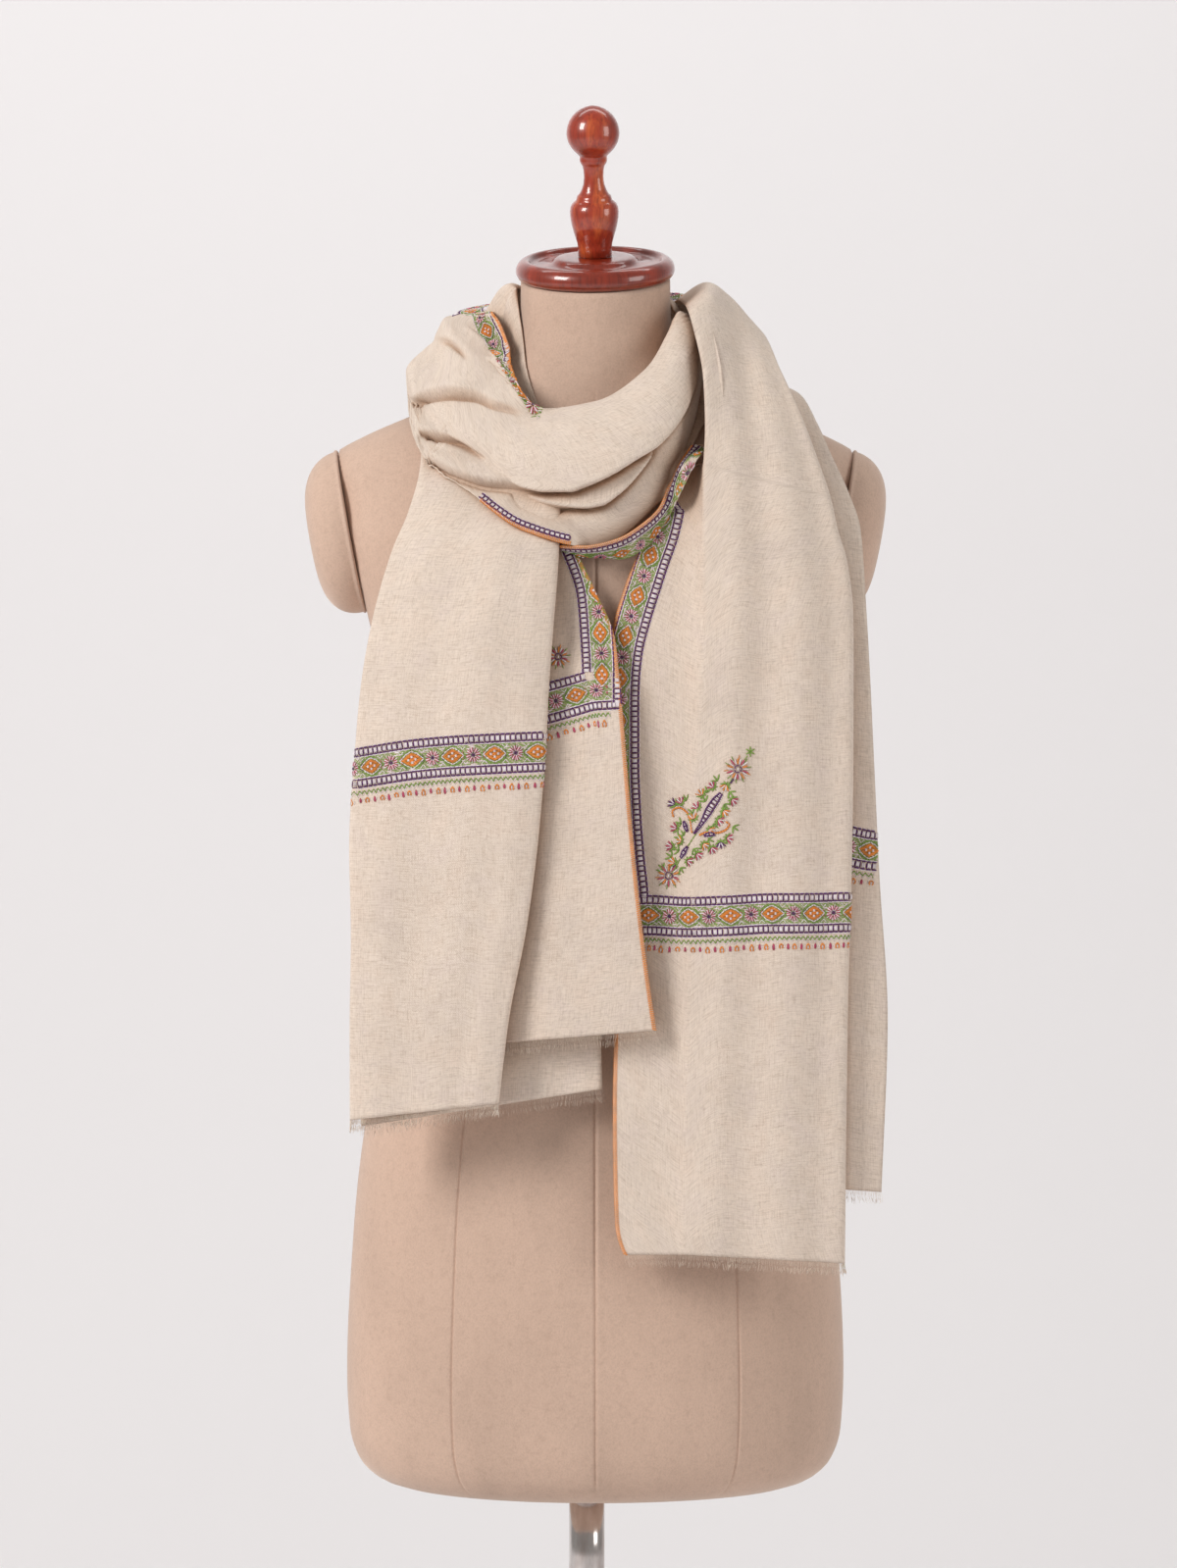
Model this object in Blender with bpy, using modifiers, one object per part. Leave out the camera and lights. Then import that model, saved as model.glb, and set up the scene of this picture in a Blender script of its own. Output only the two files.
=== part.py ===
"""A pashmina shawl wound once round the neck of a limbless dress form, both tails hanging in front.

The form stands on a chrome pole and a round base. Sizes are in millimetres and metres are made at the end.
Cloth sizes are given as they are seen from the front, at the form's middle plane, and carry() takes each
point along the line of sight to the depth at which the cloth really lies.
"""
import math

import bmesh
import bpy
import numpy as np

MM = 0.001
EYE_AWAY = 4000.0          # distance from which the front sizes were read
EYE_HEIGHT = 1300.0        # height of that eye above the floor
BODY_SHIFT = 6.0           # the body stands this much to the side of the pole
WALL = 1.2                 # cloth wall
FORM_GAP = 1.6             # least air between the form and the middle of a cloth wall

NECK_TILT = math.radians(12.0)
NECK_ROLL = math.radians(1.0)
NECK_TOP = (0.0, -13.0, 1413.0)
NECK_RADIUS = 51.3

BASE_RADIUS = 185.0
BASE_THICK = 14.0
POLE_RADIUS = 12.4
COLLAR_RADIUS = 19.5
COLLAR_THICK = 3.0
BODY_BOTTOM = 575.0

# Rings of the body: height, half width, half depth, and how far the ring lies back of the pole.
BODY_RINGS = (
    dict(z=575.0, half_w=118.0, half_d=70.0, back=0.0),
    dict(z=577.5, half_w=138.0, half_d=88.0, back=0.0),
    dict(z=584.0, half_w=154.0, half_d=102.0, back=0.0),
    dict(z=596.0, half_w=165.0, half_d=112.0, back=0.0),
    dict(z=615.0, half_w=171.0, half_d=117.0, back=0.0),
    dict(z=655.0, half_w=173.0, half_d=119.0, back=0.0),
    dict(z=750.0, half_w=168.5, half_d=115.0, back=0.0),
    dict(z=827.0, half_w=160.0, half_d=106.0, back=-2.0),
    dict(z=900.0, half_w=140.0, half_d=94.0, back=-7.0),
    dict(z=960.0, half_w=126.0, half_d=85.0, back=-11.0),
    dict(z=1020.0, half_w=127.0, half_d=90.0, back=-13.0),
    dict(z=1080.0, half_w=137.0, half_d=102.0, back=-14.0),
    dict(z=1130.0, half_w=147.0, half_d=107.0, back=-13.0),
    dict(z=1184.0, half_w=158.0, half_d=105.0, back=-8.0),
    dict(z=1215.0, half_w=176.0, half_d=102.0, back=-5.0),
    dict(z=1245.0, half_w=189.0, half_d=97.0, back=-2.0),
    dict(z=1272.0, half_w=189.0, half_d=90.0, back=0.0),
    dict(z=1293.0, half_w=180.0, half_d=82.0, back=1.0),
    dict(z=1306.0, half_w=158.0, half_d=76.0, back=2.0),
    dict(z=1319.0, half_w=128.0, half_d=70.0, back=2.0),
    dict(z=1334.0, half_w=93.0, half_d=64.0, back=0.0),
    dict(z=1350.0, half_w=67.0, half_d=59.0, back=-3.0),
    dict(z=1368.0, half_w=55.0, half_d=54.5, back=-7.0),
    dict(z=1388.0, half_w=51.8, half_d=51.8, back=-10.0),
    dict(z=1412.7, half_w=51.3, half_d=51.3, back=-13.0),
)
BODY_SEGMENTS = 40
RING_STEP = 30.0           # rings are added between the listed ones until none is further apart

# The two armholes lie on planes that lean in towards the waist.
ARMHOLE_TOP = (178.0, 1296.0)
ARMHOLE_FOOT = (157.5, 1184.0)
CAP_HALF_DEPTH = 50.0
CAP_BULGE = 29.0

# Turned wood: height above the plate and radius there, up to the ball's top.
FINIAL_PROFILE = (
    (0.3, 11.6), (6.5, 11.6), (13.0, 13.2), (22.0, 15.7), (31.0, 16.8), (36.5, 15.2), (39.0, 12.4),
    (41.0, 11.9), (42.6, 10.8), (46.0, 8.6), (55.0, 6.7), (62.5, 7.6), (65.5, 9.3), (68.6, 9.3),
    (71.0, 11.2), (76.0, 15.5), (81.5, 17.8), (87.5, 18.0), (94.0, 15.9), (99.5, 11.3), (103.2, 4.6),
    (104.0, 0.0),
)
PLATE_PROFILE = (
    (0.3, 0.0), (0.3, 50.0), (2.2, 53.2), (6.0, 54.75), (10.0, 54.0), (13.4, 51.0), (14.6, 47.5),
    (13.0, 45.2), (11.4, 44.2), (11.0, 40.0), (11.6, 30.0), (13.6, 28.4), (15.4, 26.0), (15.8, 20.0), (16.0, 0.0),
)
PLATE_TOP = 16.0


# ---------------------------------------------------------------- curves through tables
def column(table, name):
    return np.array([row[name] for row in table], float)


def smooth(knots, values, at):
    """Cubic through the knots that never overshoots between two of them."""
    knots, values, at = np.asarray(knots, float), np.asarray(values, float), np.asarray(at, float)
    step = np.diff(knots)
    slope = np.diff(values) / step
    tangent = np.zeros(len(values))
    tangent[0], tangent[-1] = slope[0], slope[-1]
    inner = slope[:-1] * slope[1:] > 0
    w1 = 2 * step[1:] + step[:-1]
    w2 = step[1:] + 2 * step[:-1]
    safe = np.where(slope == 0, 1.0, slope)
    harmonic = w1 / safe[:-1] + w2 / safe[1:]
    mean = (w1 + w2) / np.where(inner, harmonic, 1.0)
    tangent[1:-1] = np.where(inner, mean, 0.0)
    at = np.clip(at, knots[0], knots[-1])
    i = np.clip(np.searchsorted(knots, at, side="right") - 1, 0, len(step) - 1)
    t = (at - knots[i]) / step[i]
    h = step[i]
    return ((1 + 2 * t) * (1 - t) ** 2 * values[i] + t * (1 - t) ** 2 * h * tangent[i]
            + t * t * (3 - 2 * t) * values[i + 1] + t * t * (t - 1) * h * tangent[i + 1])


def through(points, count):
    """Points spaced along a smooth curve through a few points."""
    points = np.asarray(points, float)
    reach = np.concatenate([[0.0], np.cumsum(np.linalg.norm(np.diff(points, axis=0), axis=1))])
    at = np.linspace(0.0, reach[-1], count)
    return np.stack([smooth(reach, points[:, k], at) for k in range(points.shape[1])], axis=1)


def carry(points):
    """From front sizes at the middle plane to true places: x, depth, height."""
    points = np.array(points, float)
    near = (EYE_AWAY + points[..., 1]) / EYE_AWAY
    points[..., 0] = points[..., 0] * near
    points[..., 2] = EYE_HEIGHT + (points[..., 2] - EYE_HEIGHT) * near
    return points


def body_rings():
    """The listed rings with smooth ones between them."""
    listed = column(BODY_RINGS, "z")
    heights = []
    for low, high in zip(listed[:-1], listed[1:]):
        heights += list(np.linspace(low, high, max(1, math.ceil((high - low) / RING_STEP)), endpoint=False))
    heights = np.array(heights + [listed[-1]])
    return {name: smooth(listed, column(BODY_RINGS, name), heights) for name in BODY_RINGS[0]}


# ---------------------------------------------------------------- the form as a field, to lay cloth on
def neck_lift(x, y, z):
    """How far the leaning neck raises a ring's point: more at the back, and a little at the right."""
    blend = np.clip((z - 1345.0) / 55.0, 0.0, 1.0)
    return blend * (math.tan(NECK_TILT) * (y - NECK_TOP[1]) + math.tan(NECK_ROLL) * x)


def form_field(points):
    x, y, z = points[..., 0], points[..., 1], points[..., 2]
    z = z - neck_lift(x, y, z)
    half_w = np.interp(z, BODY["z"], BODY["half_w"])
    half_d = np.interp(z, BODY["z"], BODY["half_d"])
    back = np.interp(z, BODY["z"], BODY["back"])
    # Beyond the armhole planes there is no body, only the shallow cap.
    wide = np.minimum(half_w, 172.0 + 0.18 * (z - 1245.0) + CAP_BULGE * 0.9)
    return np.sqrt((x / wide) ** 2 + ((y - back) / half_d) ** 2 + 1e-9) - 1.0


BODY = body_rings()


def field_slope(points):
    slope = np.zeros_like(points)
    for k in range(3):
        step = np.zeros(3)
        step[k] = 1.0
        slope[..., k] = (form_field(points + step) - form_field(points - step)) / 2.0
    return slope


def lay_on_form(points, gap):
    """Moves the points that lie under the form's skin, or nearer than the gap, straight out of it."""
    points = np.array(points, float)
    for _ in range(8):
        slope = field_slope(points)
        size = np.linalg.norm(slope, axis=-1)
        away = form_field(points) / size
        short = np.clip(gap - away, 0.0, 12.0)
        points = points + slope / size[..., None] * short[..., None]
    return points


def filled(grid, along=5, across=3):
    """More points between the points of a grid, for measuring against."""
    grid = np.asarray(grid, float)
    rows, columns = grid.shape[:2]
    i = np.linspace(0.0, rows - 1, (rows - 1) * along + 1)
    j = np.linspace(0.0, columns - 1, (columns - 1) * across + 1)
    i0 = np.minimum(i.astype(int), rows - 2)
    j0 = np.minimum(j.astype(int), columns - 2)
    s, t = (i - i0)[:, None, None], (j - j0)[None, :, None]
    top = grid[i0][:, j0] * (1 - t) + grid[i0][:, j0 + 1] * t
    foot = grid[i0 + 1][:, j0] * (1 - t) + grid[i0 + 1][:, j0 + 1] * t
    return (top * (1 - s) + foot * s).reshape(-1, 3)


def lay_over(points, layers, gap, reach=18.0, rise=0.4):
    """Moves points to the front until they clear the layers below them by the gap."""
    points = np.array(points, float)
    shape = points.shape
    flat = points.reshape(-1, 3)
    under = np.concatenate([filled(layer) for layer in layers])
    for i, point in enumerate(flat):
        away = np.hypot(under[:, 0] - point[0], under[:, 2] - point[2])
        close = (away < reach) & (np.abs(under[:, 1] - point[1]) < 45.0)
        if point[1] > 0.0 or not close.any():
            continue
        level = (under[close, 1] + rise * away[close]).min()
        flat[i, 1] = min(point[1], level - gap)
    return flat.reshape(shape)


# ---------------------------------------------------------------- scene, materials, solids
def clear_scene():
    for obj in list(bpy.data.objects):
        bpy.data.objects.remove(obj, do_unlink=True)


def collection(name, helper=False):
    made = bpy.data.collections.new(name)
    bpy.context.scene.collection.children.link(made)
    made.hide_render = helper
    return made


def material(name, colour, roughness, metallic=0.0):
    made = bpy.data.materials.new(name)
    made.use_nodes = True
    shader = made.node_tree.nodes["Principled BSDF"]
    shader.inputs["Base Color"].default_value = (*colour, 1.0)
    shader.inputs["Roughness"].default_value = roughness
    shader.inputs["Metallic"].default_value = metallic
    made.diffuse_color = (*colour, 1.0)
    return made


def solid(name, points, faces, stuff, group, smooth_shade=True):
    mesh = bpy.data.meshes.new(name)
    placed = (np.asarray(points, float) + np.array([BODY_SHIFT, 0.0, 0.0])) * MM
    mesh.from_pydata(placed.tolist(), [], faces)
    mesh.materials.append(stuff)
    shape = bmesh.new()
    shape.from_mesh(mesh)
    bmesh.ops.recalc_face_normals(shape, faces=shape.faces)
    shape.to_mesh(mesh)
    shape.free()
    if smooth_shade:
        mesh.shade_smooth()
    obj = bpy.data.objects.new(name, mesh)
    group.objects.link(obj)
    return obj


def loft(name, rings, stuff, group):
    """A closed body through rings of equal count, with flat ends."""
    rings = np.asarray(rings, float)
    rows, around = rings.shape[:2]
    faces = []
    for i in range(rows - 1):
        for j in range(around):
            k = (j + 1) % around
            faces.append((i * around + j, i * around + k, (i + 1) * around + k, (i + 1) * around + j))
    faces.append(tuple(range(around)))
    faces.append(tuple((rows - 1) * around + j for j in range(around)))
    return solid(name, rings.reshape(-1, 3), faces, stuff, group)


def turned(name, profile, steps, stuff, group):
    """A lathe turning about its own +Z from (height, radius) pairs, bottom to top."""
    mesh = bpy.data.meshes.new(name)
    points = [(radius * MM, 0.0, height * MM) for height, radius in reversed(profile)]
    mesh.from_pydata(points, [(i, i + 1) for i in range(len(points) - 1)], [])
    mesh.materials.append(stuff)
    obj = bpy.data.objects.new(name, mesh)
    group.objects.link(obj)
    screw = obj.modifiers.new("turn", "SCREW")
    screw.axis = "Z"
    screw.steps = steps
    screw.render_steps = steps
    screw.use_merge_vertices = True
    screw.merge_threshold = 0.00001
    screw.use_smooth_shade = True
    return obj


def cloth(name, grid, stuff, group, wall=WALL):
    """A cloth wall: the grid of points is its middle, and the wall is grown to both sides of it."""
    grid = np.asarray(grid, float)
    rows, across = grid.shape[:2]
    faces = []
    for i in range(rows - 1):
        for j in range(across - 1):
            a = i * across + j
            faces.append((a, a + 1, a + across + 1, a + across))
    obj = solid(name, grid.reshape(-1, 3), faces, stuff, group)
    wall_grown = obj.modifiers.new("wall", "SOLIDIFY")
    wall_grown.thickness = wall * MM
    wall_grown.offset = 0.0
    wall_grown.use_even_offset = False
    wall_grown.use_quality_normals = True
    return obj


# ---------------------------------------------------------------- the form
def build_form(mats, group, helpers):
    angles = np.linspace(0.0, 2 * math.pi, BODY_SEGMENTS, endpoint=False)
    rings = []
    for height, half_w, half_d, back in zip(BODY["z"], BODY["half_w"], BODY["half_d"], BODY["back"]):
        x = half_w * np.cos(angles)
        y = back + half_d * np.sin(angles)
        z = height + neck_lift(x, y, height)
        rings.append(np.stack([x, y, z], axis=1))
    torso = loft("form_torso", rings, mats["jersey"], group)
    lean = math.atan2(ARMHOLE_TOP[0] - ARMHOLE_FOOT[0], ARMHOLE_TOP[1] - ARMHOLE_FOOT[1])
    middle_x = (ARMHOLE_TOP[0] + ARMHOLE_FOOT[0]) / 2
    middle_z = (ARMHOLE_TOP[1] + ARMHOLE_FOOT[1]) / 2
    half_high = math.hypot(ARMHOLE_TOP[0] - ARMHOLE_FOOT[0], ARMHOLE_TOP[1] - ARMHOLE_FOOT[1]) / 2
    for side, tag in ((-1, "left"), (1, "right")):
        bpy.ops.mesh.primitive_cube_add(size=1.0)
        cutter = bpy.context.object
        cutter.name = "armhole_" + tag
        cutter.scale = (0.2, 0.4, 0.4)
        cutter.rotation_euler = (0.0, side * lean, 0.0)
        out = np.array([math.cos(lean), 0.0, -math.sin(lean)]) * 100.0
        cutter.location = ((side * (middle_x + out[0]) + BODY_SHIFT) * MM, 0.0, (middle_z + out[2]) * MM)
        for holder in list(cutter.users_collection):
            holder.objects.unlink(cutter)
        helpers.objects.link(cutter)
        cutter.hide_render = True
        cutter.display_type = "WIRE"
        cut = torso.modifiers.new("armhole_" + tag, "BOOLEAN")
        cut.operation = "DIFFERENCE"
        cut.solver = "EXACT"
        cut.object = cutter
        build_cap("form_cap_" + tag, side, lean, middle_x, middle_z, half_high, mats["jersey"], group)


def build_cap(name, side, lean, middle_x, middle_z, half_high, stuff, group):
    """A padded armhole plate: a shallow dome on its own armhole plane, 0.3 mm off the body."""
    around, levels = 28, 7
    rings = []
    for k in range(levels):
        rise = k / levels
        out = 0.3 + CAP_BULGE * math.sin(rise * math.pi / 2)
        shrink = max(math.cos(rise * math.pi / 2), 0.02) ** 0.55
        ring = []
        for j in range(around):
            a = 2 * math.pi * j / around
            up = half_high * shrink * math.sin(a)
            deep = CAP_HALF_DEPTH * shrink * math.cos(a) - 2.0
            x = middle_x + out * math.cos(lean) + up * math.sin(lean)
            z = middle_z - out * math.sin(lean) + up * math.cos(lean) - 3.0 * rise
            ring.append((side * x, deep, z))
        rings.append(ring)
    loft(name, rings, stuff, group)


def build_stand(mats, group):
    turned("stand_base", ((0.0, 0.0), (0.0, BASE_RADIUS - 2.0), (2.0, BASE_RADIUS), (BASE_THICK - 4.0, BASE_RADIUS),
                          (BASE_THICK - 1.2, BASE_RADIUS - 1.6), (BASE_THICK, BASE_RADIUS - 5.0),
                          (BASE_THICK, 0.0)), 48, mats["base_metal"], group)
    turned("stand_pole", ((BASE_THICK + 0.3, 0.0), (BASE_THICK + 0.3, POLE_RADIUS),
                          (BODY_BOTTOM - COLLAR_THICK - 0.6, POLE_RADIUS),
                          (BODY_BOTTOM - COLLAR_THICK - 0.6, 0.0)), 32, mats["chrome"], group)
    top = BODY_BOTTOM - 0.3
    foot = top - COLLAR_THICK
    turned("stand_collar", ((foot, 0.0), (foot, COLLAR_RADIUS - 0.8), (foot + 0.8, COLLAR_RADIUS),
                            (top, COLLAR_RADIUS), (top, 0.0)), 32, mats["chrome"], group)
    tilt = (NECK_TILT, -NECK_ROLL, 0.0)
    for name, profile, steps, lift in (("neck_plate", PLATE_PROFILE, 40, 0.0),
                                       ("finial", FINIAL_PROFILE, 28, PLATE_TOP)):
        obj = turned(name, profile if profile[0][1] == 0.0 else ((profile[0][0], 0.0),) + tuple(profile),
                     steps, mats["wood"], group)
        obj.rotation_euler = tilt
        axis = (-math.sin(NECK_ROLL), -math.sin(NECK_TILT), math.cos(NECK_TILT))
        spot = [NECK_TOP[k] + axis[k] * lift for k in range(3)]
        obj.location = ((spot[0] + BODY_SHIFT) * MM, spot[1] * MM, (spot[2] + 0.2) * MM)


# ---------------------------------------------------------------- hanging tails
# Each row is one level of a hanging layer: its left and right edge (x, height z, depth y) and how far the
# middle swells to the front.
LEFT_FRONT = (
    dict(lx=-112.0, lz=1330.0, ly=-20.0, rx=-62.0, rz=1338.0, ry=-48.0, swell=4.0),
    dict(lx=-119.0, lz=1306.0, ly=-62.0, rx=-40.0, rz=1322.0, ry=-87.0, swell=5.0),
    dict(lx=-122.0, lz=1280.0, ly=-88.0, rx=-29.0, rz=1290.0, ry=-104.0, swell=6.0),
    dict(lx=-130.0, lz=1252.0, ly=-103.0, rx=-24.0, rz=1256.0, ry=-120.0, swell=7.0),
    dict(lx=-141.0, lz=1226.0, ly=-112.0, rx=-25.0, rz=1226.0, ry=-131.0, swell=8.0),
    dict(lx=-156.0, lz=1172.0, ly=-121.0, rx=-29.0, rz=1172.0, ry=-144.0, swell=8.0),
    dict(lx=-163.0, lz=1130.0, ly=-126.0, rx=-32.0, rz=1130.0, ry=-149.0, swell=8.0),
    dict(lx=-167.0, lz=1086.0, ly=-129.0, rx=-34.0, rz=1092.0, ry=-151.0, swell=7.0),
    dict(lx=-171.0, lz=1020.0, ly=-131.0, rx=-39.0, rz=1030.0, ry=-152.0, swell=7.0),
    dict(lx=-170.0, lz=960.0, ly=-132.0, rx=-47.0, rz=968.0, ry=-152.0, swell=6.0),
    dict(lx=-171.0, lz=890.0, ly=-133.0, rx=-60.0, rz=900.0, ry=-152.0, swell=6.0),
    dict(lx=-171.0, lz=830.0, ly=-134.0, rx=-67.0, rz=842.0, ry=-151.0, swell=5.0),
)
LEFT_SIDE = (
    dict(lx=-70.0, lz=1262.0, ly=-95.5, rx=-30.0, rz=1262.0, ry=-102.0, swell=1.0),
    dict(lx=-66.0, lz=1230.0, ly=-106.0, rx=-20.0, rz=1230.0, ry=-112.0, swell=1.0),
    dict(lx=-66.0, lz=1200.0, ly=-114.0, rx=-9.0, rz=1200.0, ry=-119.0, swell=1.0),
    dict(lx=-68.0, lz=1166.0, ly=-121.0, rx=13.0, rz=1166.0, ry=-131.0, swell=1.0),
    dict(lx=-72.0, lz=1132.0, ly=-126.0, rx=17.0, rz=1132.0, ry=-141.0, swell=2.0),
    dict(lx=-74.0, lz=1091.0, ly=-129.0, rx=20.5, rz=1091.0, ry=-145.0, swell=2.0),
    dict(lx=-76.0, lz=1042.0, ly=-131.0, rx=24.5, rz=1042.0, ry=-146.0, swell=3.0),
    dict(lx=-80.0, lz=976.0, ly=-132.0, rx=31.0, rz=976.0, ry=-146.0, swell=3.0),
    dict(lx=-86.0, lz=920.0, ly=-133.0, rx=38.0, rz=920.0, ry=-145.0, swell=3.0),
    dict(lx=-89.0, lz=882.0, ly=-133.0, rx=42.0, rz=893.0, ry=-144.0, swell=3.0),
)
LEFT_BACK = (
    dict(lx=-150.0, lz=1160.0, ly=-113.0, rx=-24.0, rz=1160.0, ry=-121.0, swell=1.0),
    dict(lx=-156.0, lz=1100.0, ly=-118.0, rx=-20.0, rz=1100.0, ry=-124.5, swell=1.0),
    dict(lx=-160.0, lz=1000.0, ly=-120.0, rx=-10.0, rz=1000.0, ry=-126.5, swell=1.0),
    dict(lx=-162.0, lz=900.0, ly=-121.0, rx=3.0, rz=900.0, ry=-126.5, swell=1.0),
    dict(lx=-163.0, lz=826.0, ly=-121.0, rx=5.0, rz=852.0, ry=-126.0, swell=1.0),
)
RIGHT_FRONT = (
    dict(lx=57.0, lz=1398.0, ly=47.0, rx=98.0, rz=1283.0, ry=91.0, swell=-8.0),
    dict(lx=60.0, lz=1401.0, ly=26.0, rx=118.0, rz=1316.0, ry=56.0, swell=-9.0),
    dict(lx=64.0, lz=1397.0, ly=-10.0, rx=129.0, rz=1346.0, ry=4.0, swell=-7.0),
    dict(lx=70.0, lz=1376.0, ly=-50.0, rx=136.0, rz=1334.0, ry=-46.0, swell=-2.0),
    dict(lx=75.0, lz=1346.0, ly=-80.0, rx=146.0, rz=1312.0, ry=-72.0, swell=2.0),
    dict(lx=76.0, lz=1312.0, ly=-101.0, rx=155.0, rz=1286.0, ry=-88.0, swell=4.0),
    dict(lx=75.0, lz=1284.0, ly=-113.0, rx=163.0, rz=1262.0, ry=-98.0, swell=5.0),
    dict(lx=75.5, lz=1254.0, ly=-122.0, rx=168.0, rz=1240.0, ry=-106.0, swell=6.0),
    dict(lx=76.0, lz=1226.0, ly=-129.0, rx=174.0, rz=1220.0, ry=-112.0, swell=6.0),
    dict(lx=76.0, lz=1186.0, ly=-135.0, rx=178.5, rz=1184.0, ry=-119.0, swell=6.0),
    dict(lx=75.0, lz=1150.0, ly=-138.0, rx=179.0, rz=1150.0, ry=-123.0, swell=6.0),
    dict(lx=72.0, lz=1086.0, ly=-138.5, rx=179.0, rz=1086.0, ry=-127.0, swell=6.0),
    dict(lx=68.0, lz=1000.0, ly=-138.5, rx=178.0, rz=1000.0, ry=-130.0, swell=6.0),
    dict(lx=66.0, lz=920.0, ly=-138.5, rx=176.0, rz=920.0, ry=-131.0, swell=6.0),
    dict(lx=64.0, lz=840.0, ly=-139.0, rx=175.0, rz=840.0, ry=-132.0, swell=6.0),
    dict(lx=62.0, lz=736.0, ly=-139.0, rx=174.0, rz=730.0, ry=-132.0, swell=5.0),
)
# The long edge of the right tail, from under the cowl to the hem. It joins the tail along its left column.
RIGHT_EDGE = (
    dict(z=1284.0, x=62.0, y=-92.0),
    dict(z=1254.0, x=46.0, y=-103.0),
    dict(z=1226.0, x=31.0, y=-111.0),
    dict(z=1196.0, x=19.0, y=-117.0),
    dict(z=1168.0, x=12.0, y=-121.0),
    dict(z=1132.0, x=11.0, y=-125.5),
    dict(z=1086.0, x=11.0, y=-128.5),
    dict(z=1000.0, x=13.0, y=-130.0),
    dict(z=920.0, x=14.0, y=-130.5),
    dict(z=840.0, x=12.5, y=-132.0),
    dict(z=760.0, x=14.0, y=-134.0),
    dict(z=736.0, x=20.0, y=-135.0),
    dict(z=729.0, x=31.0, y=-135.0),
)
RIGHT_BACK = (
    dict(lx=102.0, lz=1344.0, ly=-28.0, rx=141.0, rz=1334.0, ry=-22.0, swell=0.0),
    dict(lx=108.0, lz=1326.0, ly=-58.0, rx=153.0, rz=1314.0, ry=-50.0, swell=0.0),
    dict(lx=116.0, lz=1290.0, ly=-82.0, rx=163.0, rz=1292.0, ry=-64.0, swell=1.0),
    dict(lx=122.0, lz=1262.0, ly=-93.0, rx=175.0, rz=1266.0, ry=-74.0, swell=2.0),
    dict(lx=128.0, lz=1236.0, ly=-103.0, rx=183.0, rz=1242.0, ry=-83.0, swell=2.0),
    dict(lx=130.0, lz=1190.0, ly=-112.0, rx=187.0, rz=1190.0, ry=-96.0, swell=2.0),
    dict(lx=132.0, lz=1140.0, ly=-116.0, rx=190.0, rz=1140.0, ry=-104.0, swell=2.0),
    dict(lx=134.0, lz=1080.0, ly=-118.0, rx=193.0, rz=1080.0, ry=-109.0, swell=2.0),
    dict(lx=136.0, lz=1000.0, ly=-120.0, rx=197.0, rz=1000.0, ry=-113.0, swell=2.0),
    dict(lx=138.0, lz=900.0, ly=-121.0, rx=203.0, rz=900.0, ry=-115.0, swell=2.0),
    dict(lx=140.0, lz=784.0, ly=-122.0, rx=199.0, rz=780.0, ry=-116.0, swell=2.0),
)
# Soft hanging folds: where across the layer (0 left, 1 right) at its top and foot, how deep, how wide.
LEFT_FRONT_FOLDS = (
    dict(top=0.30, foot=0.22, deep=-2.2, wide=0.10),
    dict(top=0.62, foot=0.48, deep=2.0, wide=0.12),
    dict(top=0.84, foot=0.78, deep=-1.8, wide=0.09),
)
RIGHT_FRONT_FOLDS = (
    dict(top=0.28, foot=0.18, deep=2.2, wide=0.10),
    dict(top=0.55, foot=0.46, deep=-2.6, wide=0.12),
    dict(top=0.80, foot=0.74, deep=2.0, wide=0.09),
)
NO_FOLDS = ()
EDGE_TURN = 3.2            # radius of a folded edge
TUCK_TOP = 1276.0          # below this height the right tail's long edge lies under the cowl
JOIN_ROWS = 6              # rows over which a tail takes up the section of the stretch it comes from
LEFT_TUCK = 46.0           # how far a folded edge runs back behind the layer


def tail_rows(table, count):
    knots = np.concatenate([[0.0], np.cumsum(np.hypot(np.diff(column(table, "lz")), np.diff(column(table, "ly"))))])
    at = np.linspace(0.0, knots[-1], count)
    return {name: smooth(knots, column(table, name), at) for name in table[0]}


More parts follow.
